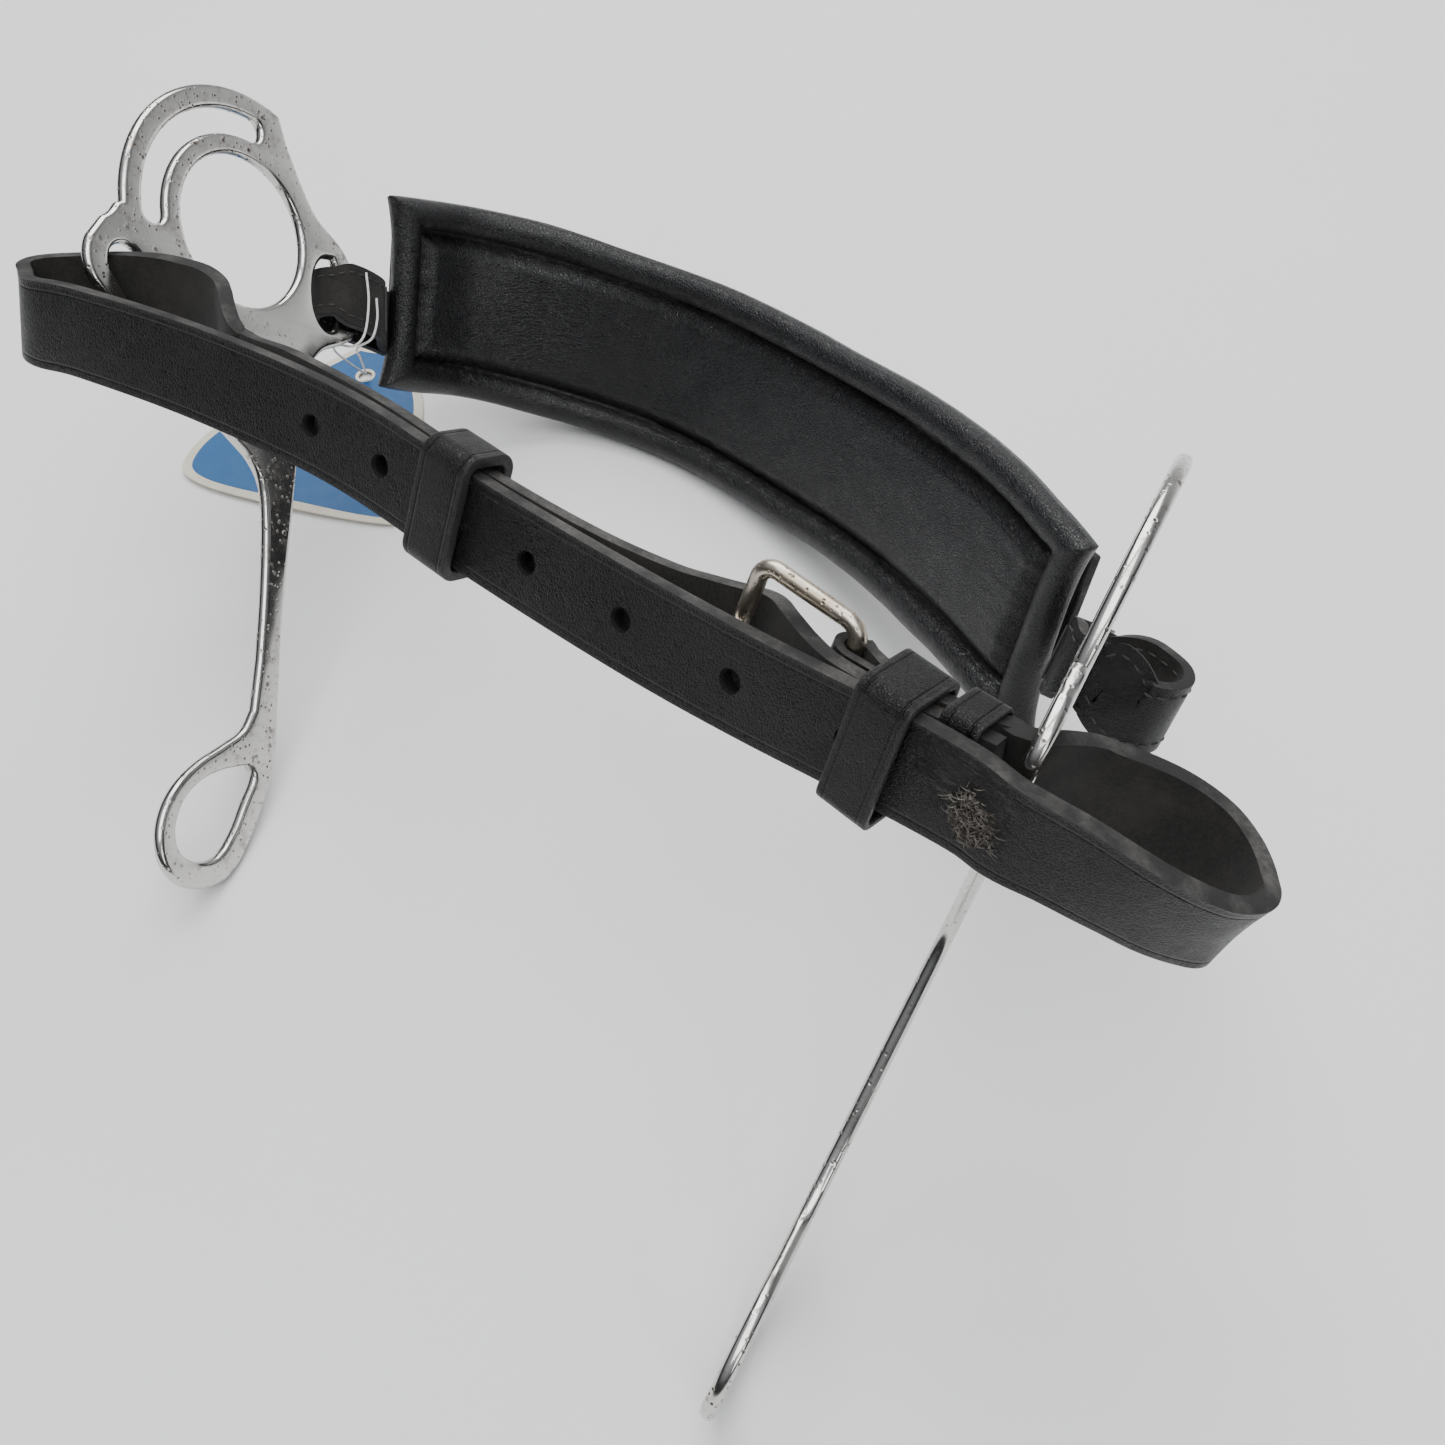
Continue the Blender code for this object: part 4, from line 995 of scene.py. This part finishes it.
FRONT = [  # outer face of the front run, right to left: place and width direction
    ((124, -49, 119.5), (-0.03, 0.24, 0.97)),
    ((105, -48.5, 117), (-0.01, 0.31, 0.95)),
    ((79, -49, 114), (0.0, 0.37, 0.93)),
    ((50, -48, 110), (0.01, 0.44, 0.90)),
    ((12, -47.5, 108), (0.01, 0.44, 0.90)),
    ((-31, -46.5, 107.5), (-0.02, 0.46, 0.89)),
    ((-72, -51, 106), (-0.08, 0.45, 0.89)),
    ((-107, -58, 104), (-0.08, 0.38, 0.92))]
OUTER = []
for k, (p, w) in enumerate(FRONT):
    a, b = Vector(FRONT[max(k - 1, 0)][0]), Vector(FRONT[min(k + 1, len(FRONT) - 1)][0])
    n = (a - b).normalized().cross(Vector(w)).normalized()
    n = n if n.y > 0 else -n
    OUTER.append((Vector(p) + n * (STRAP_T / 2), w))
outer_c = spline([p for p, _ in OUTER], 12)
outer_w = squared([Vector(v).normalized() for v in spline([w for _, w in OUTER], 12)], outer_c)


def behind(x, depth, lift=0.0):
    """A point behind the front run at station x, and the width direction there."""
    i = min(range(len(outer_c)), key=lambda k: abs(outer_c[k].x - x))
    j = min(max(i, 1), len(outer_c) - 2)
    step = outer_c[j + 1] - outer_c[j - 1]
    t = step.normalized() if step.x > 0 else -step.normalized()
    w = outer_w[j]
    n = w.cross(t)
    if n.y < 0:
        n = -n
    p = outer_c[j] + t * ((x - outer_c[j].x) / t.x)
    return p + n * depth + w * lift, w, n, t


# buckle frame: turned a little in the plane of the strap, its toe lying over the
# billet and its bar lying behind it
FRAME_H = 28.0
FRAME_SKEW_DEG = 13.5
BILLET_W = 19.0
FOLD_GAP = 0.35
toe_top = behind(74.1, 6.6, 19.2)[0]
bar_top, bar_w, _, bar_t = behind(95.2, 9.5, 14.6)
skew = math.radians(FRAME_SKEW_DEG)
frame_b = (bar_w * math.cos(skew) + bar_t * math.sin(skew)).normalized()
frame_a = bar_top - toe_top
frame_a = frame_a - frame_b * frame_a.dot(frame_b)
FRAME_L = frame_a.length
frame_a.normalize()
bar_mid = bar_top - frame_b * (FRAME_H / 2)
frame_n = frame_a.cross(frame_b)
if frame_n.y < 0:
    frame_n = -frame_n

fold_r = WIRE_R + FOLD_GAP + SKIVE_T / 2
path = []                 # (centre, width direction, thickness weight, width)
thin = SKIVE_T / STRAP_T
for a in (7.0, 3.5):
    path.append((bar_mid + frame_a * a - frame_n * (fold_r - 0.12 * a), frame_b, thin, STRAP_W))
for k in range(0, 7):
    ang = math.radians(-90 - 30 * k)
    path.append((bar_mid + frame_a * (fold_r * math.cos(ang)) + frame_n * (fold_r * math.sin(ang)),
                 frame_b, thin, STRAP_W))
path.append((bar_mid + frame_a * 3.5 + frame_n * (fold_r - 0.3), frame_b, thin, STRAP_W))
for x, d, h, g in ((97.6, 10.8, 0.7, 0.62), (102.0, 8.9, 0.4, 0.85), (106.5, 8.1, 0.2, 1.0), (112.0, 8.1, 0, 1.0),
                   (118.0, 8.9, 0, 1.0), (122.6, 10.0, 0, 1.0)):
    p, w, n, t = behind(x, d, h)
    path.append((p, w, g, STRAP_W))
path.append((slot_right.lerp(behind(122.6, 10.0)[0], 0.45),
             (slot_up_right * 0.6 + behind(121, 0)[1] * 0.4), 1.0, STRAP_W))
slot_side = (RIGHT_MID.to_3x3() @ Vector((slot_nrm.x, slot_nrm.y, 0))).normalized()
path.append((slot_right + slot_up_right * 0.8 - slot_side * 0.6, slot_up_right, 1.0, STRAP_W))
# bight behind and round the right cheek
back_right = [((134.8, -26.8, 110.8), (0.15, 0.20, 0.965)), ((142.0, -22.4, 107.6), (0.2, 0.27, 0.94)),
              ((149.0, -20.0, 105.4), (0.23, 0.28, 0.93)), ((156.0, -20.0, 104.0), (0.25, 0.27, 0.93)),
              ((162.0, -22.6, 103.6), (0.25, 0.22, 0.94)), ((166.6, -26.8, 104.0), (0.23, 0.17, 0.96)),
              ((168.4, -30.8, 105.0), (0.22, 0.12, 0.97)), ((167.0, -35.0, 107.0), (0.26, 0.1, 0.96)),
              ((162.2, -39.8, 110.4), (0.36, 0.13, 0.92)), ((154.0, -44.2, 115.2), (0.34, 0.12, 0.93)),
              ((143.0, -47.1, 118.8), (0.10, 0.14, 0.98)),
              ((133.0, -48.3, 119.4), (0.02, 0.2, 0.98))]
for p, w in back_right:
    path.append((Vector(p), Vector(w), 1.0, STRAP_W))
for p, w in OUTER:
    path.append((Vector(p), Vector(w), 1.0, STRAP_W))
# bight round the left cheek
for p, w in (((-121.0, -59.8, 101.6), (-0.05, 0.34, 0.94)),
             ((-127.4, -58.6, 100.4), (-0.04, 0.37, 0.93)),
             ((-130.2, -55.6, 99.6), (-0.06, 0.36, 0.93)),
             ((-129.6, -51.6, 99.2), (-0.14, 0.28, 0.95)),
             ((-124.8, -45.8, 98.8), (-0.30, 0.14, 0.94))):
    path.append((Vector(p), Vector(w), 1.0, STRAP_W))
path.append((slot_left, slot_up_left, 1.0, STRAP_W))
path.append((Vector((-103.4, -31.2, 99.4)), Vector((-0.33, 0.12, 0.93)), 1.0, STRAP_W))
path.append((Vector((-90.0, -31.4, 100.8)), Vector((-0.16, 0.28, 0.95)), 1.0, STRAP_W))
for x, d, h in ((-74, 12.4, -1.6), (-56, 9.0, -0.8), (-38, 6.0, -0.3), (-20, 4.4, 0), (8, 4.0, 0),
                (34, 5.6, 0.3), (52, 8.0, 0.8), (61, 10.2, 1.4), (69, 12.1, 1.9), (75, 11.4, 2.7),
                (81, 8.2, 2.7), (87, 5.4, 2.1), (93, 3.8, 1.2), (100, 3.6, 0.5), (107, 3.8, 0.2),
                (113, 4.7, 0), (118.5, 5.4, 0), (123.0, 5.7, 0), (126.2, 5.8, 0)):
    p, w, n, t = behind(x, d, h)
    path.append((p, w, 1.0, STRAP_W if x < 20 else BILLET_W + 0.3 if x < 45 else BILLET_W))

dense = spline([tuple(p) for p, _, _, _ in path], 24)
dense_w = spline([tuple(Vector(w).normalized()) for _, w, _, _ in path], 24)
dense_g = spline([(g, width, 0) for _, _, g, width in path], 24)


def thin_out(points, pitch):
    """Indices of a polyline that keep about a pitch, closer where it bends."""
    keep, run, turn = [0], 0.0, 0.0
    for i in range(1, len(points) - 1):
        a, b = points[i] - points[i - 1], points[i + 1] - points[i]
        run += a.length
        turn += a.angle(b) if a.length and b.length else 0
        if run > pitch or (turn > math.radians(3) and run > 0.25):
            keep.append(i)
            run = turn = 0.0
    return keep + [len(points) - 1]


keep = thin_out(dense, 1.6)
cs = [dense[i] for i in keep]
ws = squared([dense_w[i].normalized() for i in keep], cs)
gs = [min(1.0, max(thin, dense_g[i].x)) for i in keep]
wd = [dense_g[i].y for i in keep]
marks = [-1, -0.965, -0.9, -0.8, -0.6, -0.4, -0.2, 0.2, 0.4, 0.6, 0.8, 0.9, 0.965, 1]
# the slit that the buckle tongue comes through: in the fold, and in the billet in front of it
slit = set()
for i in range(len(cs) - 1):
    mid = (cs[i] + cs[i + 1]) / 2
    off = mid - bar_mid
    a, n = off.dot(frame_a), off.dot(frame_n)
    if i < len(cs) / 2 and abs(off.dot(frame_b)) < 4 and a < 4.6 and math.hypot(a, n) < fold_r * 2.0:
        slit.add((i, 6))
    if i > len(cs) / 2 and -15.5 < a < 3.6:
        slit.add((i, 6))
hole_cuts = []
for x in (-39, -18, 3, 25, 50, 77, 102):
    p, w, n, t = behind(x, 0)
    hole_cuts.append((frame(p, -t, w) if frame(p, -t, w).col[2].y < 0 else frame(p, t, w),
                      HOLE_D / 2, 4.4, 32))
curb = ribbon("curb_strap", cs, ws, wd, STRAP_T, LEATHER, "curb_strap",
              marks=marks, skipped=slit, group=gs, cuts=hole_cuts)
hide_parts("curb_strap")

# ---------------------------------------------------------------- buckle


def rounded_rect(length, height, r, count=14):
    """Corner-rounded rectangle in (a, b), centred on the bar at a = 0."""
    pts = []
    for cx, cy, start in ((-r, height / 2 - r, 0), (-length + r, height / 2 - r, 90),
                          (-length + r, -height / 2 + r, 180), (-r, -height / 2 + r, 270)):
        pts += arc((cx, cy), r, start, start + 90, count)
    return pts


wire = [bar_mid + frame_a * p.x + frame_b * p.y for p in rounded_rect(FRAME_L, FRAME_H, 3.2)]
bow = tube("buckle_frame", wire, WIRE_R, NICKEL, "buckle_frame", resolution=8, cyclic=True)
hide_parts("buckle_frame")
TONGUE_R = 0.95
wrap_r = WIRE_R + TONGUE_R + 0.7
tongue = []
for k in range(0, 9):
    ang = math.radians(35 + 35 * k)          # from behind the bar round its back to the front
    tongue.append(bar_mid + frame_a * (wrap_r * math.cos(ang)) + frame_n * (wrap_r * math.sin(ang)))
tip_n = -(WIRE_R + TONGUE_R + 0.3)
for a, n in ((-6.5, -wrap_r + 0.15), (-13.0, tip_n + 0.1), (-FRAME_L, tip_n), (-FRAME_L - 3.2, tip_n + 0.3)):
    tongue.append(bar_mid + frame_a * a + frame_n * n)
pin = tube("buckle_tongue", spline([tuple(p) for p in tongue], 8), TONGUE_R, NICKEL, "buckle_tongue",
           resolution=5)
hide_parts("buckle_tongue")

# ---------------------------------------------------------------- keepers
def keeper(name, x, near, far, width, leather, inner_w, lift=0.0, skew=0.0, corner=1.2, lean=0.0):
    """A loop round the layers between two depths behind the front run."""
    p, w, n, t = behind(x, (near + far) / 2, lift)
    ang = math.radians(skew)
    w = w * math.cos(ang) + t * math.sin(ang)
    n = (n + t * math.tan(math.radians(lean))).normalized()
    m = frame(p, w, n)
    obj = loop_plate(name, inner_w, far - near, leather, width, KEEPERS[name],
                     "curb_strap" if name == "fixed_keeper" else name, m, corner=corner)
    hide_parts(name)
    return obj


keeper("left_keeper", 1.5, -STRAP_T / 2 - 0.9, 4.0 + STRAP_T / 2 + 1.1, 12.5, 2.4, STRAP_W + 2.4,
       lift=0.4, corner=1.8)
keeper("right_keeper", 106.3, -STRAP_T / 2 - 0.75, 8.25 + STRAP_T / 2 + 1.1, 11.0, 1.6,
       STRAP_W + 4.5, skew=10.0, lift=-0.2, corner=1.6)
keeper("fixed_keeper", 119.0, 5.3 - STRAP_T / 2 - 0.55, 9.2 + STRAP_T / 2 + 1.5, 7.6, 1.0,
       STRAP_W + 2.0, skew=5.0, lift=0.0, corner=1.2)

# ---------------------------------------------------------------- swing tag
tag_pts = [(-165, 56), (-172, 20), (-170, -12), (-154, -19), (-102, 2), (-100, 12), (-126, 46),
           (-150, 60)]
tag_loop = even(spline(flat(tag_pts + [tag_pts[0]]), 10), 1.5)[:-1]
middle = sum(tag_loop, Vector((0, 0))) / len(tag_loop)
inner = [middle + (p - middle) * (1 - 3.0 / (p - middle).length) for p in tag_loop]
tag_hole = ring_loop((-153, 46), 2.2, 32)
on_table = WORLD.inverted() @ Matrix.Translation((FRAME_SHIFT[0], FRAME_SHIFT[1], 0.9))
card = plate("swing_tag", [tag_loop, tag_hole], 0.62, 0.1, CREAM, ROOT, on_table, bevel_res=1)
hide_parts("swing_tag")
print_area = plate("swing_tag_print", [inner, ring_loop((-153, 46), 3.2, 32)], 0.06, 0.01, CARD, ROOT,
                   on_table @ Matrix.Translation((0, 0, 0.33)), bevel_res=0)

# ---------------------------------------------------------------- torn fibres on the strap
rng = random.Random(11)
bm = bmesh.new()
for _ in range(150):
    angle, reach = rng.uniform(0, 2 * math.pi), rng.uniform(0, 1) ** 0.6
    x = 127.6 + 4.4 * reach * math.cos(angle)
    h = -1.2 + 5.4 * reach * math.sin(angle) - 0.35 * (x - 127.6)
    p, w, n, t = behind(x, 0, 0)
    start = p + w * h - n * (STRAP_T / 2 - 0.25)
    way = (t * rng.uniform(-1, 1) + w * rng.uniform(-1.1, 0.6)).normalized()
    long, lift = rng.uniform(1.0, 3.0), rng.uniform(0.25, 0.9)
    curl = rng.uniform(-0.9, 0.9)
    side = n.cross(way)
    rings = []
    for k in range(6):
        f = k / 5
        at = start + way * (long * f) + side * (curl * f * f) - n * (0.35 + lift * math.sin(math.pi * f * 0.8))
        r = 0.17 * (1 - 0.75 * f)
        rings.append([bm.verts.new(at + (side * math.cos(a) + n * math.sin(a)) * r)
                      for a in (0.0, 2.1, 4.2)])
    for lower, upper in zip(rings, rings[1:]):
        for k in range(3):
            bm.faces.new((lower[k], lower[(k + 1) % 3], upper[(k + 1) % 3], upper[k]))
    bm.faces.new(rings[0][::-1])
    bm.faces.new(rings[-1])
bmesh.ops.recalc_face_normals(bm, faces=bm.faces)
fibres = add_mesh("torn_fibres", bm, [FIBRE], "curb_strap", sharp=180)

# ---------------------------------------------------------------- string of the tag
LEFT_WORLD = WORLD @ LEFT_MID
hole_at = Vector((-153 + FRAME_SHIFT[0], 46 + FRAME_SHIFT[1], 1.0))


def string_piece(name, start_points, sag):
    """One fine white cord from the left tab down to the hole of the tag."""
    head = [LEFT_WORLD @ Vector((u, NOSE_V + v, n)) for u, v, n in start_points]
    a, b = head[-1], hole_at + Vector((0.4, 0.2, 0.7))
    fall = [a.lerp(b, f) + Vector(sag) * math.sin(math.pi * f) for f in (0.2, 0.4, 0.6, 0.8, 0.93)]
    line_points = even(spline([tuple(p) for p in head + fall + [b]], 12), 0.8)
    curve = bpy.data.curves.new(name, "CURVE")
    curve.dimensions = "3D"
    curve.bevel_depth = 0.33 * MM
    curve.bevel_resolution = 4
    curve.use_fill_caps = True
    line = curve.splines.new("POLY")
    line.points.add(len(line_points) - 1)
    for point, p in zip(line.points, line_points):
        point.co = (*(p * MM), 1)
    curve.materials.append(COTTON)
    obj = bpy.data.objects.new("v_" + name, curve)
    bpy.context.scene.collection.objects.link(obj)
    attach(obj, ROOT)
    return obj


string_piece("tag_string_near", [(41.0, 1.0, 6.3), (41.0, -5.0, 6.6), (40.4, -10.2, 5.2), (39.0, -12.5, 1.0)], (5, -3, 2))
string_piece("tag_string_far", [(37.0, 7.0, 6.4), (37.6, -1.0, 6.8), (37.0, -9.8, 6.0), (36.0, -13.0, 3.0)], (-6, -4, 4))

# ---------------------------------------------------------------- floor, light, camera
floor_mat, nt, bsdf = new_mat("v_floor")
c = coords(nt)
nt.links.new(ramp(nt, fractal(nt, c, 9, 4, 0.5), [(0.2, grey(0.83)), (0.8, grey(0.86))]), bsdf.inputs["Base Color"])
bsdf.inputs["Roughness"].default_value = 0.75
bsdf.inputs["Specular IOR Level"].default_value = 0.25
bm = bmesh.new()
R, H, W = 2.2, 1.2, 3.0
profile = [(-3.0, 0.0)] + [(R - H + H * math.sin(math.radians(a)), H - H * math.cos(math.radians(a)))
                           for a in range(0, 91, 6)] + [(R, 3.2)]
rows = [[bm.verts.new((x, y, z - 0.0004)) for y, z in profile] for x in (-W, W)]
for k in range(len(profile) - 1):
    bm.faces.new((rows[0][k], rows[1][k], rows[1][k + 1], rows[0][k + 1]))
mesh = bpy.data.meshes.new("floor")
bm.to_mesh(mesh)
bm.free()
mesh.shade_smooth()
mesh.materials.append(floor_mat)
floor = bpy.data.objects.new("floor", mesh)
bpy.context.scene.collection.objects.link(floor)
floor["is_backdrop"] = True


def area_light(name, at, target, size, power, colour=(1, 1, 1), ratio=1.0):
    data = bpy.data.lights.new(name, "AREA")
    data.shape = "RECTANGLE"
    data.size = size
    data.size_y = size * ratio
    data.energy = power
    data.color = colour
    obj = bpy.data.objects.new(name, data)
    bpy.context.scene.collection.objects.link(obj)
    obj.matrix_world = Matrix.Translation(at) @ (Vector(target) - Vector(at)).to_track_quat("-Z", "Y").to_matrix().to_4x4()
    obj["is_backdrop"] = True
    return obj


area_light("key", (-0.55, 0.65, 1.35), (0, 0, 0.05), 1.3, 26.0)
area_light("top", (0.35, -0.35, 1.50), (0, 0, 0.05), 1.2, 17.0)
area_light("side", (1.3, -0.5, 0.75), (0.05, -0.02, 0.08), 0.55, 3.0)

# the room: a pale ceiling over darker walls, which the polished steel mirrors
world = bpy.data.worlds.new("studio")
world.use_nodes = True
nt = world.node_tree
sky = nt.nodes["Background"]
split = nt.nodes.new("ShaderNodeSeparateXYZ")
nt.links.new(coords(nt, "Generated"), split.inputs[0])
nt.links.new(ramp(nt, split.outputs[2], [(0.0, (0.05, 0.052, 0.056)), (0.30, (0.06, 0.063, 0.068)),
                                         (0.52, (0.42, 0.43, 0.45)), (0.80, (0.86, 0.89, 0.93))]),
             sky.inputs[0])
sky.inputs[1].default_value = 0.62
bpy.context.scene.world = world

FORWARD = Vector((-0.3916, 0.4751, -0.788)).normalized()
RIGHT = Vector((0.7716, 0.6361, 0)).normalized()
UP = RIGHT.cross(FORWARD)
cam_data = bpy.data.cameras.new("camera")
cam_data.sensor_width = 36
cam_data.lens = 1500 / 1445 * 36
cam_data.clip_start = 0.01
cam_data.dof.use_dof = False
camera = bpy.data.objects.new("camera", cam_data)
bpy.context.scene.collection.objects.link(camera)
placed = Matrix((RIGHT, UP, -FORWARD)).transposed().to_4x4()
placed.translation = Vector((183.3, -180.0, 317.9))
placed = WORLD @ placed
placed.translation = placed.translation * MM
camera.matrix_world = placed
bpy.context.scene.camera = camera

bounds_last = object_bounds()
print("bounds after load", bounds_loaded)
print("bounds before finish", bounds_last)
